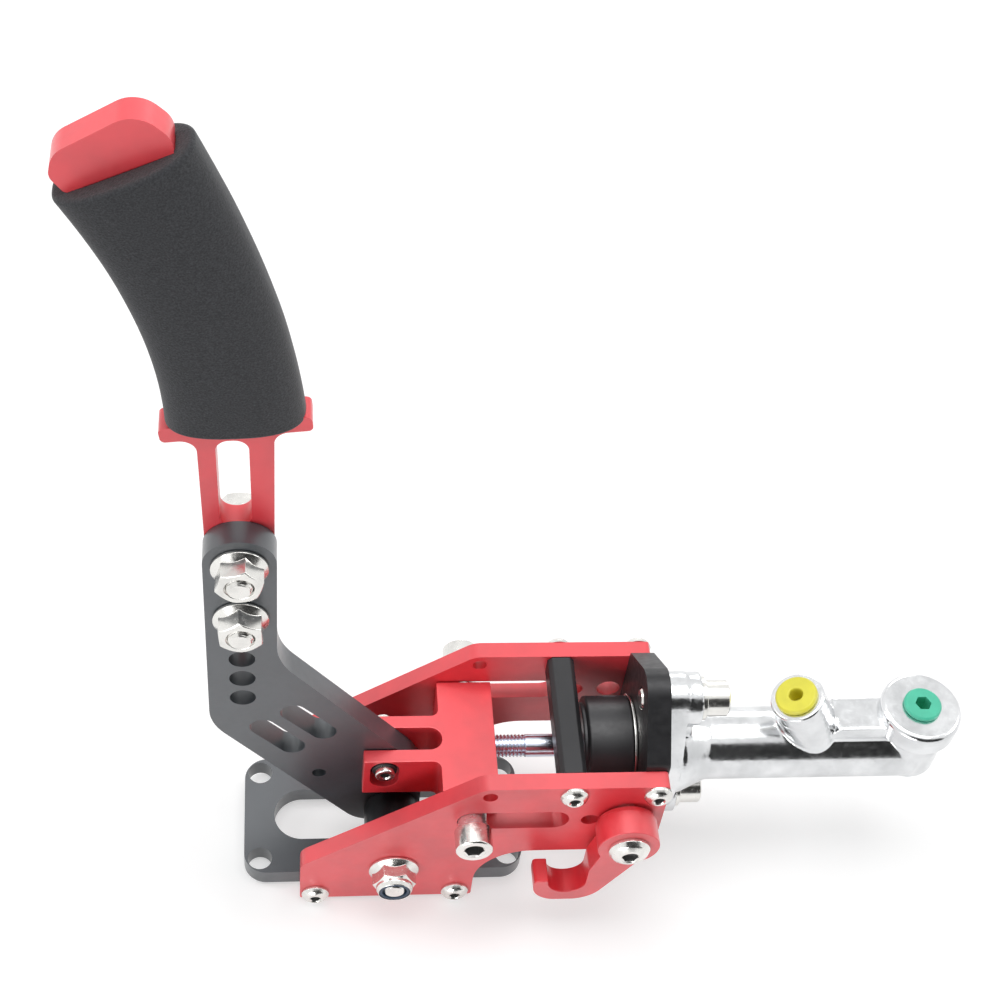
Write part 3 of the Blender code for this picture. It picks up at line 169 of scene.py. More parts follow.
def stadium(x0, y0, x1, y1, radius, arc=24):
    first = Vector((x0, y0))
    second = Vector((x1, y1))
    along = (second - first).normalized()
    side = Vector((-along.y, along.x)) * radius
    points = [second + Matrix.Rotation(-math.pi * k / arc, 2) @ side for k in range(arc + 1)]
    return points + [first + Matrix.Rotation(-math.pi * k / arc, 2) @ -side for k in range(arc + 1)]


# Solids

PLANES = {
    "X": Matrix(((0, 0, 1), (1, 0, 0), (0, 1, 0))),
    "Y": Matrix(((1, 0, 0), (0, 0, -1), (0, 1, 0))),
    "Z": Matrix(((1, 0, 0), (0, 1, 0), (0, 0, 1))),
}


def link(obj):
    bpy.context.scene.collection.objects.link(obj)
    return obj


def baked(obj):
    """The object's mesh with its modifiers applied; the object goes."""
    bpy.context.view_layer.update()
    graph = bpy.context.evaluated_depsgraph_get()
    mesh = bpy.data.meshes.new_from_object(obj.evaluated_get(graph))
    bpy.data.objects.remove(obj, do_unlink=True)
    return mesh


def slab(loops, axis, low, high):
    curve = bpy.data.curves.new("outline", "CURVE")
    curve.dimensions = "2D"
    curve.fill_mode = "BOTH"
    curve.extrude = (high - low) / 2 * MM
    for loop in loops:
        spline = curve.splines.new("POLY")
        spline.points.add(len(loop) - 1)
        for point, target in zip(loop, spline.points):
            target.co = (point[0] * MM, point[1] * MM, 0, 1)
        spline.use_cyclic_u = True
    mesh = baked(link(bpy.data.objects.new("outline", curve)))
    bpy.data.curves.remove(curve)
    shape = bmesh.new()
    shape.from_mesh(mesh)
    bmesh.ops.remove_doubles(shape, verts=shape.verts, dist=1e-7)
    bmesh.ops.dissolve_limit(shape, angle_limit=math.radians(0.2), verts=shape.verts, edges=shape.edges)
    middle = (low + high) / 2 * MM
    shift = {"X": (middle, 0, 0), "Y": (0, middle, 0), "Z": (0, 0, middle)}[axis]
    bmesh.ops.transform(shape, matrix=Matrix.Translation(shift) @ PLANES[axis].to_4x4(), verts=shape.verts)
    bmesh.ops.recalc_face_normals(shape, faces=shape.faces)
    shape.to_mesh(mesh)
    shape.free()
    mesh.materials.clear()
    return mesh


def aimed(direction, start):
    aim = Vector((0, 0, 1)).rotation_difference(Vector(direction).normalized()).to_matrix().to_4x4()
    return Matrix.Translation(Vector(start) * MM) @ aim


def turned(profile, direction, start, segments=72):
    """Revolve (radius, distance[, corner radius]) points; a profile off the axis closes on itself."""
    corners = [(*p, 0) if len(p) == 2 else p for p in profile]
    loop = rounded(corners, 15.0)
    shape = bmesh.new()
    rings = []
    for p in loop:
        count = segments if p.x > 1e-6 else 1
        angles = [2 * math.pi * i / segments for i in range(count)]
        places = [(p.x * math.cos(a) * MM, p.x * math.sin(a) * MM, p.y * MM) for a in angles]
        rings.append([shape.verts.new(place) for place in places])
    pairs = list(zip(rings, rings[1:]))
    if min(p.x for p in loop) > 1e-6:
        pairs.append((rings[-1], rings[0]))
    for lower, upper in pairs:
        for i in range(segments):
            j = (i + 1) % segments
            corners = [(lower, i), (lower, j), (upper, j), (upper, i)]
            corners = list(dict.fromkeys(ring[k % len(ring)] for ring, k in corners))
            if len(corners) > 2:
                shape.faces.new(corners)
    bmesh.ops.transform(shape, matrix=aimed(direction, start), verts=shape.verts)
    bmesh.ops.recalc_face_normals(shape, faces=shape.faces)
    mesh = bpy.data.meshes.new("turned")
    shape.to_mesh(mesh)
    shape.free()
    return mesh


def rod(radius, direction, start, length, segments=64):
    return turned([(0, 0), (radius, 0), (radius, length), (0, length)], direction, start, segments)


def tube(inner, outer, low, high, direction, start, inner_round=0.2, outer_round=0.3, segments=72):
    """Tube between two distances, with a corner radius inside and one outside."""
    profile = [(inner, low, inner_round), (outer, low, outer_round), (outer, high, outer_round),
               (inner, high, inner_round)]
    return turned(profile, direction, start, segments)


def thread(major, depth, pitch, length, direction, start, lead_in=1.0, columns=48):
    """A rod with a helical vee thread cut in it, coned off over the lead-in at both ends."""
    per_turn = 10
    rows = max(4, int(length / pitch * per_turn))
    shape = bmesh.new()
    grid = []
    for i in range(rows + 1):
        h = length * i / rows
        ring = []
        for k in range(columns):
            phase = (h / pitch - k / columns) % 1.0
            rise = 1.0 - abs(2 * phase - 1.0)
            rise = min(1.0, max(0.0, rise * 1.35 - 0.15))  # flat crests and roots
            edge = min(h, length - h)
            limit = major - max(0.0, (lead_in - edge)) * 0.8
            radius = min(major - depth * (1 - rise), limit)
            angle = 2 * math.pi * k / columns
            place = (radius * math.cos(angle) * MM, radius * math.sin(angle) * MM, h * MM)
            ring.append(shape.verts.new(place))
        grid.append(ring)
    for lower, upper in zip(grid, grid[1:]):
        for k in range(columns):
            j = (k + 1) % columns
            shape.faces.new((lower[k], lower[j], upper[j], upper[k]))
    shape.faces.new(grid[0])
    shape.faces.new(grid[-1])
    bmesh.ops.transform(shape, matrix=aimed(direction, start), verts=shape.verts)
    bmesh.ops.recalc_face_normals(shape, faces=shape.faces)
    mesh = bpy.data.meshes.new("thread")
    shape.to_mesh(mesh)
    shape.free()
    return mesh


def combine(base, others, operation):
    body = link(bpy.data.objects.new("body", base))
    tools = []
    for mesh in others:
        tool = link(bpy.data.objects.new("tool", mesh))
        modifier = body.modifiers.new("boolean", "BOOLEAN")
        modifier.operation = operation
        modifier.solver = "EXACT"
        modifier.object = tool
        tools.append(tool)
    result = baked(body)
    for tool in tools:
        bpy.data.objects.remove(tool, do_unlink=True)
    shape = bmesh.new()
    shape.from_mesh(result)
    bmesh.ops.remove_doubles(shape, verts=shape.verts, dist=1e-6)
    bmesh.ops.dissolve_limit(shape, angle_limit=math.radians(0.2), verts=shape.verts, edges=shape.edges)
    shape.to_mesh(result)
    shape.free()
    return result


def cut(mesh, *tools):
    return combine(mesh, tools, "DIFFERENCE")


def weld(mesh, *extras):
    return combine(mesh, extras, "UNION")


def common(mesh, *tools):
    return combine(mesh, tools, "INTERSECT")


def together(*meshes):
    """Loose meshes in one, for parts of a piece that only touch."""
    shape = bmesh.new()
    for mesh in meshes:
        shape.from_mesh(mesh)
    result = bpy.data.meshes.new("together")
    shape.to_mesh(result)
    shape.free()
    return result


def moved(mesh, x, y, z, turn=None):
    result = mesh.copy()
    matrix = Matrix.Translation(Vector((x, y, z)) * MM)
    if turn is not None:
        matrix = matrix @ turn
    result.transform(matrix)
    return result


def piece(name, mesh, mat, body, bevel=0.0, steps=2, sharp=35.0, socket=None):
    """Give a mesh rounded edges, smooth shading and a material, and set it on its CAD body.

    A socket is (seat of the head, direction of the head, width across the key's flats); its inside gets a
    darker steel as painted shade.
    """
    mesh = mesh.copy()
    mesh.materials.clear()
    obj = link(bpy.data.objects.new(name, mesh))
    if bevel > 0:
        modifier = obj.modifiers.new("edge", "BEVEL")
        modifier.width = bevel * MM
        modifier.segments = steps
        modifier.limit_method = "ANGLE"
        modifier.angle_limit = math.radians(40)
        modifier.harden_normals = False
        mesh = baked(obj)
        obj = link(bpy.data.objects.new(name, mesh))
    mesh.shade_smooth()
    mesh.set_sharp_from_angle(angle=math.radians(sharp))
    weighted = obj.modifiers.new("normals", "WEIGHTED_NORMAL")
    weighted.keep_sharp = True
    weighted.weight = 80
    mesh.materials.append(mat)
    if socket:
        seat, outwards, key = Vector(socket[0]), Vector(socket[1]), socket[2]
        reach = 0.6 * key
        # faces inside the key socket get the darker steel: painted shade of the recess
        mesh.materials.append(SOCKET_PAINTED_SHADE)
        for face in mesh.polygons:
            places = [mesh.vertices[i].co / MM - seat for i in face.vertices]
            inside = all((place - outwards * place.dot(outwards)).length < reach for place in places)
            if inside and (face.center / MM - seat).dot(outwards) > 0.2:
                face.material_index = 1
    obj.name = name + "_look"
    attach(obj, body)
    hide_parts(name)
    return obj


# Materials


def shader_material(name):
    mat = bpy.data.materials.new(name)
    mat.use_nodes = True
    tree = mat.node_tree
    return mat, tree, tree.nodes["Principled BSDF"]


def noise_node(tree, where, scale, detail=2.0, rough=0.5):
    node = tree.nodes.new("ShaderNodeTexNoise")
    node.inputs["Scale"].default_value = scale
    node.inputs["Detail"].default_value = detail
    node.inputs["Roughness"].default_value = rough
    tree.links.new(where, node.inputs["Vector"])
    return node.outputs["Fac"]


def spread(tree, value, low, high, from_low=0.3, from_high=0.7):
    node = tree.nodes.new("ShaderNodeMapRange")
    node.inputs["From Min"].default_value = from_low
    node.inputs["From Max"].default_value = from_high
    node.inputs["To Min"].default_value = low
    node.inputs["To Max"].default_value = high
    tree.links.new(value, node.inputs["Value"])
    return node.outputs["Result"]


def blend_colours(tree, value, first, second, low=0.35, high=0.65):
    ramp = tree.nodes.new("ShaderNodeValToRGB")
    ramp.color_ramp.elements[0].position = low
    ramp.color_ramp.elements[0].color = (*first, 1)
    ramp.color_ramp.elements[1].position = high
    ramp.color_ramp.elements[1].color = (*second, 1)
    tree.links.new(value, ramp.inputs["Fac"])
    return ramp.outputs["Color"]


def bump(tree, shader, value, distance, strength=1.0, under=None):
    node = tree.nodes.new("ShaderNodeBump")
    node.inputs["Distance"].default_value = distance
    node.inputs["Strength"].default_value = strength
    tree.links.new(value, node.inputs["Height"])
    if under is not None:
        tree.links.new(under, node.inputs["Normal"])
    tree.links.new(node.outputs["Normal"], shader.inputs["Normal"])
    return node.outputs["Normal"]


def local(tree, stretch=(1, 1, 1)):
    coord = tree.nodes.new("ShaderNodeTexCoord")
    mapping = tree.nodes.new("ShaderNodeMapping")
    mapping.inputs["Scale"].default_value = stretch
    tree.links.new(coord.outputs["Object"], mapping.inputs["Vector"])
    return mapping.outputs["Vector"]


def anodised(name, colour, rough, metallic, grain, coat):
    """Bead-blasted and dyed aluminium: fine grain, slight clouds of shade and sheen."""
    mat, tree, shader = shader_material(name)
    where = local(tree)
    cloud = noise_node(tree, where, 55.0, 3.0)
    lift = 0.10
    dark = tuple(c * (1 - lift) for c in colour)
    light = tuple(min(1.0, c * (1 + lift)) for c in colour)
    tree.links.new(blend_colours(tree, cloud, dark, light), shader.inputs["Base Color"])
    shader.inputs["Metallic"].default_value = metallic
    blotch = noise_node(tree, where, 420.0, 3.0)
    tree.links.new(spread(tree, blotch, rough - 0.05, rough + 0.06), shader.inputs["Roughness"])
    shader.inputs["Coat Weight"].default_value = coat
    shader.inputs["Coat Roughness"].default_value = 0.38
    shader.inputs["Coat IOR"].default_value = 1.6
    fine = noise_node(tree, where, 3600.0, 2.0)
    bump(tree, shader, fine, grain * MM)
    return mat


def bright(name, colour, rough, brushed=(1, 1, 1)):
    """Plated steel: bright, with fine tool marks and faint smears."""
    mat, tree, shader = shader_material(name)
    where = local(tree, brushed)
    shader.inputs["Metallic"].default_value = 1.0
    smear = noise_node(tree, where, 160.0, 4.0)
    dark = tuple(c * 0.86 for c in colour)
    tree.links.new(blend_colours(tree, smear, dark, colour, 0.3, 0.55), shader.inputs["Base Color"])
    tree.links.new(spread(tree, noise_node(tree, where, 700.0, 3.0), rough - 0.04, rough + 0.08),
                   shader.inputs["Roughness"])
    bump(tree, shader, noise_node(tree, where, 2600.0, 2.0), 0.006 * MM)
    return mat


def casting():
    """Bright plated casting: mirror-like with a soft ripple and a few pits."""
    mat, tree, shader = shader_material("bright_casting")
    where = local(tree)
    shader.inputs["Metallic"].default_value = 1.0
    tint = noise_node(tree, where, 90.0, 4.0)
    tree.links.new(blend_colours(tree, tint, (0.62, 0.63, 0.64), (0.78, 0.79, 0.80)),
                   shader.inputs["Base Color"])
    tree.links.new(spread(tree, noise_node(tree, where, 500.0, 4.0), 0.13, 0.26), shader.inputs["Roughness"])
    wave = bump(tree, shader, noise_node(tree, where, 330.0, 3.0), 0.05 * MM, 0.6)
    bump(tree, shader, noise_node(tree, where, 1100.0, 2.0), 0.03 * MM, 0.7, wave)
    return mat


def foam():
    """Closed-cell foam rubber: matt, with a fine sponge grain."""
    mat, tree, shader = shader_material("grip_foam")
    where = local(tree)
    grain = noise_node(tree, where, 1900.0, 2.0, 0.7)
    tree.links.new(blend_colours(tree, grain, (0.016, 0.017, 0.020), (0.050, 0.052, 0.058), 0.36, 0.70),
                   shader.inputs["Base Color"])
    shader.inputs["Roughness"].default_value = 0.9
    shader.inputs["Sheen Weight"].default_value = 0.25
    shader.inputs["Sheen Roughness"].default_value = 0.5
    cells = tree.nodes.new("ShaderNodeTexVoronoi")
    cells.inputs["Scale"].default_value = 1700.0
    tree.links.new(where, cells.inputs["Vector"])
    bump(tree, shader, cells.outputs["Distance"], 0.10 * MM, 0.7)
    return mat


def moulded(name, colour, rough, grain=0.01):
    """Rubber or plastic: one colour with faint clouds, and a fine grain."""
    mat, tree, shader = shader_material(name)
    where = local(tree)
    cloud = noise_node(tree, where, 150.0, 3.0)
    dark = tuple(c * 0.9 for c in colour)
    tree.links.new(blend_colours(tree, cloud, dark, colour), shader.inputs["Base Color"])
    tree.links.new(spread(tree, noise_node(tree, where, 800.0, 3.0), rough - 0.06, rough + 0.06),
                   shader.inputs["Roughness"])
    bump(tree, shader, noise_node(tree, where, 2400.0, 2.0), grain * MM)
    return mat


RED = anodised("red_anodised", (0.80, 0.034, 0.050), 0.42, 0.1, 0.03, 1.0)
RED_BLOCK = anodised("red_anodised_block", (0.84, 0.036, 0.052), 0.44, 0.1, 0.06, 1.0)
BLACK = anodised("black_anodised", (0.040, 0.048, 0.057), 0.42, 0.2, 0.012, 1.0)
BLACK_DEEP = anodised("black_anodised_deep", (0.020, 0.020, 0.022), 0.42, 0.3, 0.01, 0.0)
BLACK_POLISHED = anodised("black_spacer", (0.030, 0.031, 0.034), 0.34, 0.6, 0.004, 0.0)
STEEL = bright("plated_steel", (0.80, 0.79, 0.76), 0.20)
# darker steel for the insides of key sockets: painted shade of the recess
SOCKET_PAINTED_SHADE = bright("socket_painted_shade", (0.26, 0.26, 0.26), 0.42)
STEEL_TURNED = bright("turned_steel", (0.72, 0.72, 0.72), 0.28)
ZINC = bright("zinc_rod", (0.66, 0.70, 0.80), 0.20, (1, 6, 6))
CAST = casting()
FOAM = foam()
RUBBER = moulded("boot_rubber", (0.035, 0.035, 0.038), 0.42, 0.008)
YELLOW = moulded("yellow_plug", (0.86, 0.80, 0.08), 0.42)
GREEN = moulded("green_plug", (0.09, 0.60, 0.40), 0.42)
BLUE = moulded("nylon_ring", (0.02, 0.05, 0.10), 0.38)
BLACK_PLASTIC = moulded("roller_plastic", (0.02, 0.02, 0.022), 0.4)
BRONZE = bright("bush_bronze", (0.55, 0.36, 0.14), 0.35)


# Fasteners


def socket_screw(head, high, dome, shank, length, key, pitch):
    """Head from y = 0 to -high, shank from y = 0 to +length, threaded unless the pitch is 0."""
    if dome:
        rim = [(head / 2, 0, 0), (head / 2, 0.28 * high, 0.3), (head * 0.42, 0.72 * high, 2.0),
               (head * 0.29, high, 0.5), (0, high, 0)]
    else:
        rim = [(head / 2, 0, 0.15), (head / 2, high - 0.5, 0.3), (head / 2 - 0.5, high, 0.3), (0, high, 0)]
    body = turned([(0, -1.0), (shank / 2, -1.0), (shank / 2, 0), *rim], NEAR, HERE, 64)
    depth = high * (0.62 if dome else 0.55)
    hole = slab([hexagon(0, 0, key)], "Y", -high - 1, -high + depth)
    lead = turned([(0, -1.0), (key * 0.64, -1.0), (key * 0.64, 0.05), (key * 0.49, 0.55), (0, 0.55)],
                  AWAY, (0, -high, 0), 48)
    head_mesh = cut(body, hole, lead)
    if pitch > 0:
        return together(head_mesh, thread(shank / 2, 0.4, pitch, length, AWAY, HERE))
    return together(head_mesh, rod(shank / 2, AWAY, HERE, length, 48))


def hex_head(high, chamfer):
    """Hexagon of an M8 nut or bolt, up to a height along -Y, with its outer corners turned off."""
    low = 0.5
    prism = slab([hexagon(0, 0, M8_FLATS)], "Y", -high, -low)
    corner = M8_FLATS / math.sqrt(3)
    profile = [(0, low), (corner, low), (corner + 0.05, low), (corner + 0.05, high - chamfer),
               (corner - chamfer * 1.7, high), (0, high)]
    return common(prism, turned(profile, NEAR, HERE))


def skirt():
    """Round flange of an M8 flange nut or bolt, from its seat at y = 0 towards -Y."""
    return turned([(0, 0), (8.6, 0, 0.2), (8.6, 0.9, 0.35), (7.4, 1.9, 1.0), (6.5, 2.7), (0, 2.7)], NEAR, HERE)


def flange_nut(high, collar=0.0):
    """Flange nut from its seat at y = 0 towards -Y; a collar on top of it holds a nylon ring."""
    body = weld(hex_head(high, 0.9), skirt())
    top = high + collar
    through = rod(M8_BORE, NEAR, (0, 1, 0), top + 3)
    if collar > 0:
        cap = turned([(0, high - 1), (6.25, high - 1), (6.25, high + 0.9, 1.2), (5.5, top, 0.6), (0, top)],
                     NEAR, HERE)
        ring_seat = rod(5.4, NEAR, (0, -top + 1.6, 0), 4)
        return cut(cut(weld(body, cap), ring_seat), through)
    lead = turned([(0, 0), (M8_BORE, 0), (M8_BORE, top - 0.9), (4.6, top + 0.01), (4.6, top + 2), (0, top + 2)],
                  NEAR, (0, -0.01, 0), 64)
    return cut(body, through, lead)


def bolt_end(reach):
    """Threaded end that shows beyond a nut, from y = 0 towards -Y, with its chamfer."""
    return thread(3.94, 0.5, M8_PITCH, reach, NEAR, HERE)


def flange_bolt_head():
    """Seat at y = 0, head towards +Y, with a shallow dish on top."""
    dish = turned([(0, 6.6), (4.2, 6.6, 0.3), (4.9, 7.05), (4.9, 9), (0, 9)], NEAR, HERE, 64)
    head = cut(weld(hex_head(7.0, 0.8), skirt()), dish)
    head.transform(HALF_TURN)
    return head


# Frame


def build_base():
    x, y, corner = 49, 23, 8.0
    outline = rounded([(-x, -y, corner), (x, -y, corner), (x, y, corner), (-x, y, corner)])
    loops = [outline, stadium(-28.5, 0, 28.5, 0, 10, 36)]
    loops += [circle(sx * 43.5, sy * 17.3, 4.25) for sx in (-1, 1) for sy in (-1, 1)]
    plate = slab(loops, "Z", 0, 7)
    holes = [rod(M5_HOLE, (0, -sy, 0), (sx * FOOT_X, sy * 24, FOOT_Z), 11.4, 40)
             for sx in (-1, 1) for sy in (-1, 1)]
    piece("base_plate", cut(plate, *holes), BLACK, "base_frame", bevel=0.45)


def build_side_plates():
    outline = rounded([
        (-29.6, 0, 1.0), (30.3, 0, 1.0), (30.3, 30, 19), (91.2, 30, 3), (91.2, 70.3, 1.5), (29.7, 70.3, 8),
        (-29.6, 22.7, 6),
    ])
    loops = [outline] + [circle(x, z, M5_HOLE, 40) for x, z in FRAME_SCREWS.values()]
    loops += [circle(*PIVOT, M8_HOLE), circle(HOOK_X, AXIS_Z, M8_HOLE)]
    loops += [circle(31.8, 65.6, 2.5, 40), circle(66.6, 50.2, 3.0, 40)]
    loops.append(stadium(GUIDE_X, AXIS_Z, GUIDE_SLOT_RIGHT - GUIDE_SLOT_RADIUS, AXIS_Z, GUIDE_SLOT_RADIUS))
    for name, low in (("side_plate_near", -PLATE_OUT), ("side_plate_far", PLATE_IN)):
        piece(name, slab(loops, "Y", low, low + PLATE_THICK), RED, "base_frame", bevel=0.5, steps=3)


def build_cross_pieces():
    x, z = BAR
    half = 23.0
    wide, high, chamfer = 4.6, 4.35, 1.6
    box = [(x - wide, z - high), (x + wide, z - high), (x + wide, z + high - chamfer),
           (x + wide - chamfer, z + high), (x - wide + chamfer, z + high), (x - wide, z + high - chamfer)]
    piece("cross_bar", slab([box], "Y", -half, half), BLACK_DEEP, "base_frame", bevel=0.3)
    shoulder, apex = 22.3, 43
    outline = rounded([
        (half, AXIS_Z + shoulder, 3), (0, AXIS_Z + apex, 9), (-half, AXIS_Z + shoulder, 3),
        (-half, AXIS_Z - shoulder, 3), (0, AXIS_Z - apex, 9), (half, AXIS_Z - shoulder, 3),
    ])
    loops = [outline, circle(0, AXIS_Z, 13.5, 96)]
    loops += [circle(0, AXIS_Z + s * CYL_BOLT_RISE, M8_HOLE) for s in (-1, 1)]
    piece("bulkhead", slab(loops, "X", BULKHEAD_X - 4, BULKHEAD_X + 4), BLACK_DEEP, "base_frame", bevel=0.5)


def build_frame_screws():
    screw = socket_screw(head=9.5, high=2.75, dome=True, shank=4.9, length=15.0, key=M5_KEY, pitch=0.8)
    for name, (x, z) in FRAME_SCREWS.items():
        for side, s, turn in (("_near", -1, None), ("_far", 1, HALF_TURN)):
            seat = (x, s * HEAD_SEAT, z)
            piece(name + side, moved(screw, *seat, turn), STEEL, "base_frame", sharp=30,
                  socket=(seat, (0, s, 0), M5_KEY))


def build_pivot():
    x, z = PIVOT
    head = moved(flange_bolt_head(), x, HEAD_SEAT, z)
    shank = rod(M8_SHANK, NEAR, (x, 30, z), 50)
    end = moved(bolt_end(18.3), x, -20.0, z)
    piece("pivot_bolt", together(head, shank, end), STEEL, "base_frame", sharp=30)
    nut = flange_nut(6.8, 2.4)
    piece("pivot_nut", moved(nut, x, -HEAD_SEAT, z), STEEL, "base_frame", bevel=0.12, sharp=30)
    ring = turned([(4.15, 0, 0.1), (5.2, 0, 0.1), (5.2, 1.3, 0.3), (4.15, 1.3, 0.3)], NEAR, (x, -37.0, z))
    piece("pivot_nut_ring", ring, BLUE, "base_frame")
    for name, s in (("pivot_spacer_near", -1), ("pivot_spacer_far", 1)):
        spacer = tube(M8_HOLE, 9.6, 4.3, 23.0, (0, s, 0), (x, 0, z), 0.3, 0.6)
        piece(name, spacer, BLACK_POLISHED, "base_frame")


# Lever


def arm_mesh():
    outline = rounded([
        (12.2, 9.5, 9.8), (-9.5, 9.5, 12), (-59.3, 73.2, 22), (-59.3, 168.6, 10.3),
        (-37.5, 168.6, 10.3), (-37.5, 108, 24), (8, 48.8, 6), (12.2, 40, 6),
    ])
    loops = [outline]
    loops += [circle(BOLT_X, z, 4.2) for z in BOLT_Z]
    loops += [circle(BOLT_X, z, 4.15) for z in SPARE_Z]
    loops += [stadium(-32.2, 79.0, -22.2, 67.4, 4.3), stadium(-42.2, 70.6, -32.5, 59.0, 4.3)]
    loops += [circle(-23.3, 41.5, 2.4, 40), circle(*LINK, 3.4), circle(*PIVOT, 6.1)]
    return slab(loops, "Y", -ARM_HALF, ARM_HALF)


def grip_lean(t):
    """Lean of the grip's middle line at a share of its length; it leans over faster near the foot."""
    return math.radians(GRIP_LEAN_LOW + (GRIP_LEAN_HIGH - GRIP_LEAN_LOW) * (t + 0.234 * t * (1 - t)))


def grip_point(t, across):
    """Point in the plane (x, z) at a share of the grip's length and a distance from its middle line."""
    place = GRIP_FOOT.copy()
    steps = 24
    for i in range(steps):
        lean = grip_lean(t * (i + 0.5) / steps)
        place += Vector((-math.sin(lean), math.cos(lean))) * (GRIP_LENGTH * t / steps)
    return place + Vector((math.cos(grip_lean(t)), math.sin(grip_lean(t)))) * across


def stem_mesh():
    """Slotted stem, collar, core inside the foam and head, as one outline."""
    steps = 24
    lean = Vector((math.cos(COLLAR_LEAN), math.sin(COLLAR_LEAN)))
    rise = Vector((-lean.y, lean.x))
    left_top = COLLAR_TOP - lean * COLLAR_HALF
    right_top = COLLAR_TOP + lean * COLLAR_HALF
    left_low = left_top - rise * COLLAR_THICK
    right_low = right_top - rise * COLLAR_THICK
    right_turn = right_low - lean * (right_low.x - STEM_RIGHT) / lean.x
    left_turn = left_low + lean * (STEM_LEFT - left_low.x) / lean.x
    collar = rounded([
        (STEM_LEFT, STEM_BOTTOM, 5.0), (STEM_RIGHT, STEM_BOTTOM, 5.0), (*right_turn, 4.5), (*right_low, 1.6),
        (*right_top, 1.8), (*(COLLAR_TOP + lean * CORE_HALF), 0),
    ])
    right_side = [grip_point(i / steps, CORE_HALF) for i in range(1, steps)]
    head = rounded([
        (*grip_point(1.0, CORE_HALF), 0), (-61.0, 309.3, 8.0), (-69.7, 317.4, 7.5), (-89.9, 304.4, 8.0),
        (-91.2, 297.6, 4.0), (-87.9, 293.0, 1.2), (*grip_point(1.0, -CORE_HALF), 0),
    ])
    left_side = [grip_point(i / steps, -CORE_HALF) for i in range(steps - 1, 0, -1)]
    low = rounded([
        (*(COLLAR_TOP - lean * CORE_HALF), 0), (*left_top, 1.8), (*left_low, 1.6), (*left_turn, 4.5),
        (STEM_LEFT, STEM_BOTTOM, 0),
    ])[:-1]
    slot = rounded([(-53.95, 166.0, 4.5), (-44.65, 166.0, 4.5), (-45.25, 204.0, 4.0), (-54.55, 203.4, 4.0)])
    loops = [collar + right_side + head + left_side + low, slot]
    loops += [circle(BOLT_X, z, 4.2) for z in BOLT_Z]
    return slab(loops, "Y", STEM_FRONT, STEM_BACK)


def grip_section(t, half_width, half_depth, power):
    """Rounded oblong across the grip's middle line; a lower power is squarer."""
    count = 96
    ring = []
    for i in range(count):
        angle = 2 * math.pi * i / count
        c = math.cos(angle)
        s = math.sin(angle)
        u = half_width * math.copysign(abs(c) ** power, c)
        v = half_depth * math.copysign(abs(s) ** power, s)
        p = grip_point(t, u)
        ring.append(Vector((p.x, STEM_MID + v, p.y)))
    return ring


def grip_mesh():
    """Foam tube along the grip's arc: an oval section with softened ends and a slot for the stem."""
    steps = 40
    edge = 1.3
    slot = (CORE_HALF + 0.3, 4.3, 0.35)
    arcs = [math.pi / 2 * k / 6 for k in range(7)]
    softened = [(edge * (1 - math.cos(a)), edge * (1 - math.sin(a))) for a in arcs]
    places = list(softened)
    for k in range(1, steps):
        places.append((edge + (GRIP_LENGTH - 2 * edge) * k / steps, 0.0))
    places += [(GRIP_LENGTH - d, inset) for d, inset in reversed(softened)]
    rings = [grip_section(0.0, *slot)]
    for d, inset in places:
        t = d / GRIP_LENGTH
        flare = GRIP_FLARE * (2 * t - 1) ** 2
        half_width = GRIP_HALF_WIDTH + flare - inset
        half_depth = GRIP_HALF_DEPTH + 0.4 * flare - inset
        rings.append(grip_section(t, half_width, half_depth, 0.78))
    rings.append(grip_section(1.0, *slot))
    rings += [grip_section(1 - k / 12, *slot) for k in range(1, 12)]

    shape = bmesh.new()
    verts = [[shape.verts.new(co * MM) for co in ring] for ring in rings]
    for a, b in zip(verts, verts[1:] + verts[:1]):
        for i in range(len(a)):
            j = (i + 1) % len(a)
            shape.faces.new((a[i], a[j], b[j], b[i]))
    bmesh.ops.recalc_face_normals(shape, faces=shape.faces)
    for vert in shape.verts:
        ripple = noise.noise(vert.co * 60.0) * 0.08
        vert.co += vert.normal * ripple * MM
    mesh = bpy.data.meshes.new("grip")
    shape.to_mesh(mesh)
    shape.free()
    return mesh


def build_lever():
    piece("lever_arm", arm_mesh(), BLACK, "lever", bevel=0.45)
    piece("lever_stem", stem_mesh(), RED, "lever", bevel=0.9, steps=4)
    grip = piece("foam_grip", grip_mesh(), FOAM, "lever", sharp=60)
    x, z = PIVOT
    bush = tube(4.15, 6.0, -ARM_HALF, ARM_HALF, AWAY, (x, 0, z), 0.3, 0.2)
    piece("pivot_bush", bush, BRONZE, "lever")
    head = flange_bolt_head()
    nut = flange_nut(8.0)
    for label, z, degrees in (("top", BOLT_Z[0], 44), ("low", BOLT_Z[1], 26)):
        shank = rod(M8_SHANK, NEAR, (BOLT_X, 13, z), 12)
        end = moved(bolt_end(14.4), BOLT_X, 1.2, z)
        bolt = together(moved(head, BOLT_X, 12.4, z), shank, end)
        piece("stem_bolt_" + label, bolt, STEEL, "lever", sharp=30)
        turn = Matrix.Rotation(math.radians(degrees), 4, "Y")
        piece("stem_nut_" + label, moved(nut, BOLT_X, -4.2, z, turn), STEEL, "lever", bevel=0.12, sharp=30)
    x, z = LINK
    pin = turned([(0, -11.4), (3.3, -11.4, 0.5), (3.3, 11.4, 0.5), (0, 11.4)], AWAY, (x, 0, z))
    key = slab([hexagon(x, z, PIN_KEY)], "Y", -13, -9)
    lead = turned([(0, -12), (2.0, -12), (2.0, -11.35), (1.5, -11.0), (0, -11.0)], AWAY, (x, 0, z), 40)
    piece("link_pin", cut(pin, key, lead), STEEL, "lever", sharp=30, socket=((x, -8, z), NEAR, PIN_KEY))
    for name, s in (("link_roller_near", -1), ("link_roller_far", 1)):
        piece(name, tube(3.36, 4.2, 4.3, 9.3, (0, s, 0), (x, 0, z)), BLACK_PLASTIC, "lever")


# Crosshead


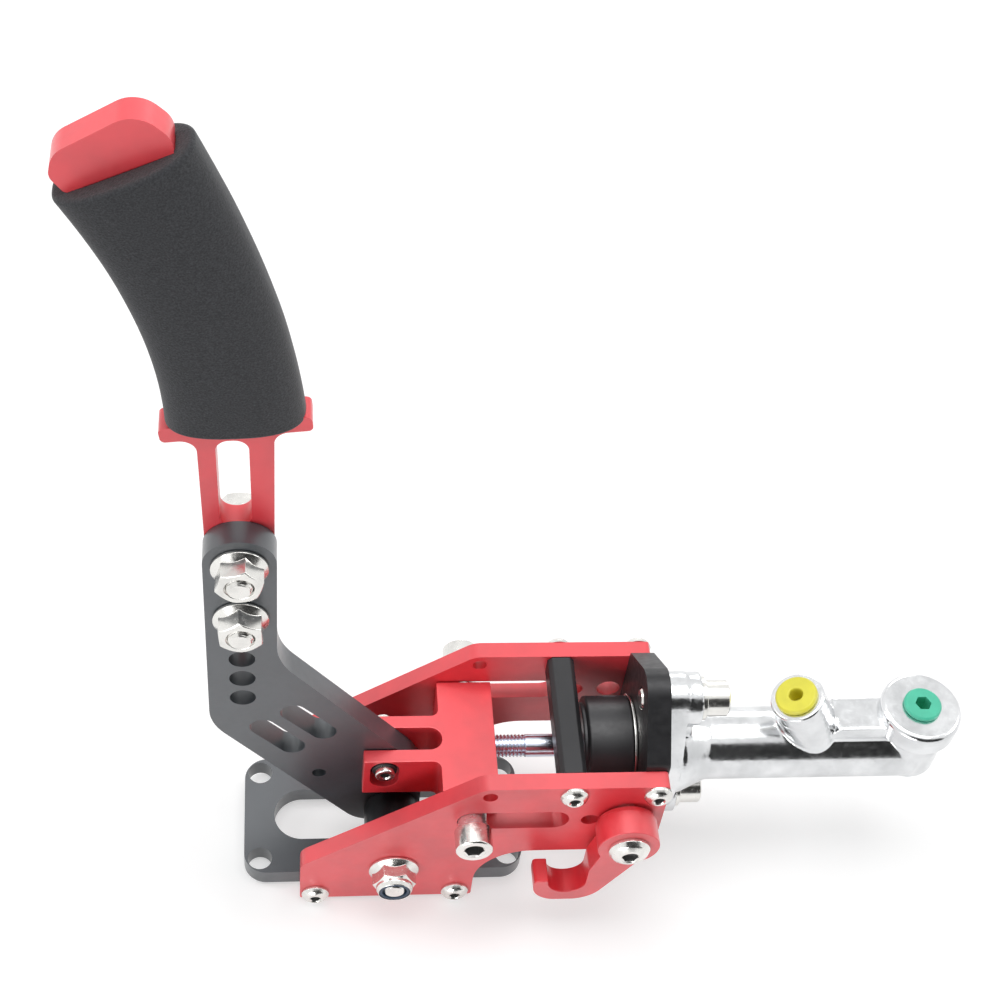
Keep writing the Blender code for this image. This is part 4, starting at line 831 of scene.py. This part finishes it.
def build_crosshead():
    half, right, left = 22.8, 36.3, 17.3
    fork_end, finger_in, finger_out, gap_end = -8.6, 4.3, 9.2, 13.8
    angles = [math.pi / 2 - i * math.pi / 24 for i in range(25)]
    arc = [(gap_end + finger_in * math.cos(a), finger_in * math.sin(a), 0) for a in angles]
    outline = rounded([
        (right, -half, 0.6), (right, half, 0.6), (left, half, 0.6), (left, finger_out, 2.6),
        (fork_end, finger_out, 0.4), (fork_end, finger_in, 0.4), *arc, (fork_end, -finger_in, 0.4),
        (fork_end, -finger_out, 0.4), (left, -finger_out, 2.6), (left, -half, 0.6),
    ])
    block = slab([outline], "Z", 36.3, 56.0)
    slot = slab([stadium(LINK[0], 45.0, LINK[0], 50.5, 4.8)], "Y", -half, half)
    rod_hole = rod(4.0, (-1, 0, 0), (right + 1, 0, AXIS_Z), 15)
    guides = [rod(M8_HOLE, (0, -s, 0), (GUIDE_X, s * (half + 1), AXIS_Z), 12.6) for s in (-1, 1)]
    piece("yoke_block", cut(block, slot, rod_hole, *guides), RED_BLOCK, "crosshead", bevel=0.35)

    screw = socket_screw(head=12.4, high=7.7, dome=False, shank=7.9, length=21.1, key=M8_KEY, pitch=0)
    for side, s, turn in (("near", -1, None), ("far", 1, HALF_TURN)):
        seat = (GUIDE_X, s * 32.9, AXIS_Z)
        piece("guide_screw_" + side, moved(screw, *seat, turn), STEEL, "crosshead", sharp=30,
              socket=(seat, (0, s, 0), M8_KEY))
        roller = tube(M8_HOLE, 4.9, 23.0, 32.7, (0, s, 0), (GUIDE_X, 0, AXIS_Z))
        piece("guide_roller_" + side, roller, STEEL_TURNED, "crosshead")

    threaded = thread(3.9, 0.5, M8_PITCH, 24.0, RIGHT, (22.7, 0, AXIS_Z), 0.5, 64)
    plain = turned([(0, 0), (3.9, 0, 0.4), (3.9, 55.8), (3.1, 57.8), (0, 58.8)], RIGHT, (46.7, 0, AXIS_Z))
    piece("pushrod", together(threaded, plain), ZINC, "crosshead")
    fit = PISTON_RADIUS
    body = turned(
        [(0, 6), (4.3, 6), (4.9, 0), (fit, 0), (fit, 5), (6.5, 5.4), (6.5, 17.6), (fit, 18), (fit, 20),
         (6.4, 20), (6.4, 24), (fit, 24), (fit, 28), (0, 28)],
        RIGHT, (PISTON_X, 0, AXIS_Z),
    )
    piece("piston", body, STEEL_TURNED, "crosshead")
    seal = turned([(6.6, 20.2), (fit, 20.2), (9.1, 23.8), (6.6, 23.8)], RIGHT, (PISTON_X, 0, AXIS_Z))
    piece("piston_seal", seal, RUBBER, "crosshead")


# Hook


def build_hook():
    throat, boss_radius = 6.5, 10.4
    x = HOOK_X - 18.1
    z = AXIS_Z - 22.75
    tip, belly = x - 11.3, z - 11.8
    turns = [-i * math.pi / 30 for i in range(31)]
    arc = [(x + throat * math.cos(a), z + throat * math.sin(a), 0) for a in turns]
    turns = [math.radians(-67 + i * 277 / 60) for i in range(61)]
    boss = [(HOOK_X + boss_radius * math.cos(a), AXIS_Z + boss_radius * math.sin(a), 0) for a in turns]
    outline = rounded([
        *boss, (x + throat, z + 8.0, 6.0), *arc, (x - throat, z + 1.0, 1.0), (tip, z + 1.0, 1.4),
        (tip, belly, 8.5), (x + 8.8, belly, 11.0),
    ])
    body = slab([outline], "Y", -40.6, -31.6)
    step = rod(9.8, AWAY, (HOOK_X, -32.6, AXIS_Z), 2.5)
    bore = rod(4.15, AWAY, (HOOK_X, -42, AXIS_Z), 14)
    piece("lock_hook", cut(weld(body, step), bore), RED, "hook", bevel=0.5, steps=3)
    washer = tube(4.2, 7.5, 0, 0.7, AWAY, (HOOK_X, -30.0, AXIS_Z), 0.1, 0.2)
    piece("hook_washer", washer, STEEL_TURNED, "base_frame")
    screw = socket_screw(head=14.0, high=3.6, dome=True, shank=7.9, length=17.0, key=HOOK_KEY, pitch=M8_PITCH)
    seat = (HOOK_X, -40.7, AXIS_Z)
    piece("hook_screw", moved(screw, *seat), STEEL, "base_frame", sharp=30, socket=(seat, NEAR, HOOK_KEY))


# Cylinder


def cast_skin(mesh):
    """Remesh and relax, so that the forms of a casting run into each other."""
    obj = link(bpy.data.objects.new("cast", mesh))
    remesh = obj.modifiers.new("remesh", "REMESH")
    remesh.mode = "VOXEL"
    remesh.voxel_size = 0.55 * MM
    relax = obj.modifiers.new("relax", "SMOOTH")
    relax.factor = 0.5
    relax.iterations = 5
    return baked(obj)


def cylinder_mesh(lean):
    """Casting with machined faces: flange, barrel, leaning inlet boss and upright outlet boss."""
    half, side = 17.5, 10
    ear, ear_rise, ear_round = 5.83, 37.4, 7.52
    outline = rounded([
        (half, AXIS_Z + side, 6), (ear, AXIS_Z + ear_rise, ear_round), (-ear, AXIS_Z + ear_rise, ear_round),
        (-half, AXIS_Z + side, 6), (-half, AXIS_Z - side, 6), (-ear, AXIS_Z - ear_rise, ear_round),
        (ear, AXIS_Z - ear_rise, ear_round), (half, AXIS_Z - side, 6),
    ])
    flange = slab([outline], "X", 91.0, 98.1)
    barrel = turned(
        [(0, 91.0), (16.7, 91.0), (16.7, 100.0), (13.9, 106.0), (12.5, 109.5), (12.5, 183), (9.5, 186.1),
         (0, 186.1)],
        RIGHT, CYL_AXIS, 96,
    )
    rises = [AXIS_Z + s * CYL_BOLT_RISE for s in (-1, 1)]
    bosses = [rod(9.1, RIGHT, (92, 0, z), 11.1) for z in rises]
    web = slab([[(92, rises[0]), (101.5, rises[0]), (101.5, rises[1]), (92, rises[1])]], "Y", -6.7, 6.7)
    neck = turned([(0, -8), (9.5, -8), (11.6, -6), (11.6, 10.5), (13.6, 13.2), (13.6, 16), (0, 16)], UP,
                  (OUTLET_X, 0, AXIS_Z), 96)
    inlet = turned([(0, 0), (9.5, 0), (9.5, 26), (0, 26)], lean, INLET_FOOT, 96)
    low, high = AXIS_Z + 5, AXIS_Z + 17.5
    rib = slab([[(146, low), (OUTLET_X, low), (OUTLET_X, high), (153, high)]], "Y", -6.7, 6.7)
    body = cast_skin(weld(flange, barrel, *bosses, web, rib, neck, inlet))

    face = slab([[(-60, -10), (60, -10), (60, 120), (-60, 120)]], "X", 85, 91.8)
    spots = [rod(8.4, RIGHT, (102.6, 0, z), 3) for z in rises]
    body = cut(body, face)
    spigot = turned([(0, 84.5), (13.2, 84.5, 0.5), (13.2, 93), (0, 93)], RIGHT, CYL_AXIS, 96)
    boss = turned([(0, 20), (9.4, 20), (9.4, 31, 1.0), (0, 31)], lean, INLET_FOOT, 96)
    disc = turned([(0, 12), (13.3, 12, 0.5), (14.1, 13.2, 0.8), (14.1, 21.5, 2.0), (0, 21.5)], UP,
                  (OUTLET_X, 0, AXIS_Z), 96)
    body = weld(body, spigot, boss, disc)
    inlet_tip = Vector(INLET_FOOT) + Vector(lean) * 32
    inwards = tuple(-c for c in lean)
    tools = [rod(9.5, RIGHT, (83.5, 0, AXIS_Z), 88.5, 96)]
    tools += [rod(M8_HOLE, RIGHT, (88, 0, z), 20) for z in rises]
    tools += [
        turned([(0, 0), (6.0, 0), (6.0, 1.0), (4.7, 2.6), (4.7, 28), (0, 28)], inwards, inlet_tip, 64),
        turned([(0, -1), (5.9, -1), (5.9, 0), (4.7, 1.6), (4.7, 20.5), (0, 20.5)], (0, 0, -1),
               (OUTLET_X, 0, 72.0), 64),
    ]
    return cut(body, *tools, *spots)


def build_cylinder():
    lean = (-math.sin(INLET_LEAN), 0, math.cos(INLET_LEAN))
    piece("master_cylinder", cylinder_mesh(lean), CAST, "base_frame", sharp=38)

    seat = 31.2
    plug = turned(
        [(0, seat - 5), (2.4, seat - 5), (2.4, seat + 1.8, 0.5), (6.6, seat + 1.8, 0.5), (7.2, seat + 1.0, 0.4),
         (7.2, seat, 0.2), (4.45, seat), (4.45, seat - 7.5), (0, seat - 7.5)],
        lean, INLET_FOOT, 96,
    )
    piece("inlet_plug", plug, YELLOW, "base_frame")
    top = 72.2
    plug = turned(
        [(0, -7.5), (4.45, -7.5), (4.45, 0), (6.5, 0, 0.2), (6.5, 1.2, 0.4), (5.9, 1.8, 0.4), (0, 1.8)],
        UP, (OUTLET_X, 0, top), 96,
    )
    key = slab([hexagon(OUTLET_X, 0, 5.0)], "Z", top - 5, top + 3)
    piece("outlet_plug", cut(plug, key), GREEN, "base_frame", sharp=30)

    screw = socket_screw(head=12.4, high=7.7, dome=False, shank=7.9, length=22.0, key=M8_KEY, pitch=M8_PITCH)
    for label, s in (("top", 1), ("low", -1)):
        z = AXIS_Z + s * CYL_BOLT_RISE
        piece("flange_washer_" + label, tube(4.2, 7.4, 0, 1.6, RIGHT, (103.2, 0, z)), STEEL, "base_frame")
        seat = (105.0, 0, z)
        piece("flange_screw_" + label, moved(screw, *seat, QUARTER), STEEL, "base_frame", sharp=30,
              socket=(seat, RIGHT, M8_KEY))

    boot = turned(
        [(4.2, 65.5, 0.4), (14.6, 65.5, 0.6), (14.6, 66.8, 0.3), (16.8, 67.2, 0.9), (16.8, 82.1, 0.5),
         (14.8, 82.1, 0.3), (14.8, 73.5, 1.0), (12.2, 71.5, 1.0), (12.2, 67.1, 0.4), (4.2, 67.1, 0.4)],
        RIGHT, CYL_AXIS, 96,
    )
    piece("dust_boot", boot, RUBBER, "base_frame")
    piece("boot_ring", tube(14.0, 17.4, 82.3, 83.3, RIGHT, CYL_AXIS, segments=96), STEEL, "base_frame")
    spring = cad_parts["return_spring"]
    spring.data.materials.clear()
    spring.data.materials.append(STEEL_TURNED)


# Studio, in metres

FLOOR_TONE = 0.6
FLOOR_GLOW = 0.52
FLOOR_GLOW_FAR = 0.95
FLOOR_GLOW_REACH = (0.4, 2.2)
FLOOR_RADIUS = 40
FLOOR_HEIGHT = -0.0015
WORLD_LIGHT = 0.15
WHITE = (1, 1, 1, 1)

# Name, place, target, size and watts
LAMPS = (
    ("top", (0.05, 0.15, 1.35), (0.03, 0, 0.08), (1.2, 0.8), 11.0),
    ("front", (-0.5, -1.2, 0.25), (0.0, 0, 0.1), (0.8, 0.4), 7.0),
    ("right", (1.2, 0.1, 0.85), (0.0, 0, 0.12), (0.5, 0.5), 4.5),
    ("left", (-1.15, 0.3, 0.9), (0.0, 0, 0.15), (0.5, 0.5), 4.0),
    ("back", (0.3, 1.25, 0.5), (0.0, 0, 0.1), (0.6, 0.4), 2.5),
)

# The camera that the photograph's points give: focal length in pixels, place in millimetres, axes by row
CAMERA_FOCAL = 1875.283
CAMERA_PIXELS = 1000
CAMERA_PLACE = (-36.987, -341.510, 597.314)
CAMERA_ROWS = (
    (0.9931154, -0.0005658, -0.1171385),
    (-0.0740827, 0.7715752, -0.6318097),
    (0.0907386, 0.6361379, 0.7662213),
)


def seen_rays(tree):
    """1 for camera, glossy and transmission rays, 0 for the rays that carry light."""
    path = tree.nodes.new("ShaderNodeLightPath")
    value = path.outputs["Is Camera Ray"]
    for other in ("Is Glossy Ray", "Is Transmission Ray"):
        node = tree.nodes.new("ShaderNodeMath")
        node.operation = "MAXIMUM"
        tree.links.new(value, node.inputs[0])
        tree.links.new(path.outputs[other], node.inputs[1])
        value = node.outputs[0]
    return value


def flat_piece(name, corners, mat):
    mesh = bpy.data.meshes.new(name)
    mesh.from_pydata(corners, [], [tuple(range(len(corners)))])
    mesh.materials.append(mat)
    obj = link(bpy.data.objects.new(name, mesh))
    return obj


def build_floor():
    """A floor that glows more away from the object, where the lamps don't reach, so that it stays white."""
    mat, tree, shader = shader_material("floor")
    shader.inputs["Base Color"].default_value = (FLOOR_TONE, FLOOR_TONE, FLOOR_TONE, 1)
    shader.inputs["Roughness"].default_value = 0.9
    shader.inputs["Specular IOR Level"].default_value = 0.0
    reach = tree.nodes.new("ShaderNodeVectorMath")
    reach.operation = "LENGTH"
    tree.links.new(local(tree), reach.inputs[0])
    glow = spread(tree, reach.outputs["Value"], FLOOR_GLOW, FLOOR_GLOW_FAR, *FLOOR_GLOW_REACH)
    scale = tree.nodes.new("ShaderNodeMath")
    scale.operation = "MULTIPLY"
    tree.links.new(seen_rays(tree), scale.inputs[0])
    tree.links.new(glow, scale.inputs[1])
    shader.inputs["Emission Color"].default_value = WHITE
    tree.links.new(scale.outputs[0], shader.inputs["Emission Strength"])
    angles = [2 * math.pi * i / 64 for i in range(64)]
    ring = [(FLOOR_RADIUS * math.cos(a), FLOOR_RADIUS * math.sin(a), FLOOR_HEIGHT) for a in angles]
    flat_piece("floor", ring, mat)


def build_card():
    """A dark card that only reflections see; it gives the bright barrel its black band."""
    mat, tree, shader = shader_material("dark_card")
    shader.inputs["Base Color"].default_value = (0.03, 0.03, 0.03, 1)
    shader.inputs["Roughness"].default_value = 0.9
    left, right, y, low, high = -0.7, 2.2, -1.6, 0.02, 2.3
    card = flat_piece("dark_card", [(left, y, low), (right, y, low), (right, y, high), (left, y, high)], mat)
    card.visible_camera = False
    card.visible_diffuse = False
    card.visible_shadow = False


def build_world():
    """Faint even light on the object, behind a backdrop that is seen as white."""
    world = bpy.data.worlds.new("studio")
    bpy.context.scene.world = world
    world.use_nodes = True
    tree = world.node_tree
    light = tree.nodes["Background"]
    light.inputs["Color"].default_value = WHITE
    light.inputs["Strength"].default_value = WORLD_LIGHT
    backdrop = tree.nodes.new("ShaderNodeBackground")
    backdrop.inputs["Color"].default_value = WHITE
    backdrop.inputs["Strength"].default_value = 1.0
    mix = tree.nodes.new("ShaderNodeMixShader")
    tree.links.new(seen_rays(tree), mix.inputs[0])
    tree.links.new(light.outputs[0], mix.inputs[1])
    tree.links.new(backdrop.outputs[0], mix.inputs[2])
    tree.links.new(mix.outputs[0], tree.nodes["World Output"].inputs["Surface"])


def build_lamps():
    for name, place, target, size, watts in LAMPS:
        data = bpy.data.lights.new(name, "AREA")
        data.shape = "RECTANGLE"
        data.size, data.size_y = size
        data.energy = watts
        obj = link(bpy.data.objects.new(name, data))
        obj.location = place
        obj.rotation_euler = (Vector(target) - Vector(place)).to_track_quat("-Z", "Y").to_euler()


def build_camera():
    data = bpy.data.cameras.new("camera")
    data.sensor_fit = "HORIZONTAL"
    data.sensor_width = 36.0
    data.lens = CAMERA_FOCAL / CAMERA_PIXELS * data.sensor_width
    data.clip_start = 0.01
    data.clip_end = 50
    cam = link(bpy.data.objects.new("camera", data))
    cam.matrix_world = Matrix.Translation(Vector(CAMERA_PLACE) * MM) @ Matrix(CAMERA_ROWS).to_4x4()
    bpy.context.scene.camera = cam


build_base()
build_side_plates()
build_cross_pieces()
build_frame_screws()
build_pivot()
build_lever()
build_crosshead()
build_hook()
build_cylinder()
build_floor()
build_card()
build_world()
build_lamps()
build_camera()
bpy.context.scene.view_settings.view_transform = "Standard"
bpy.context.view_layer.update()
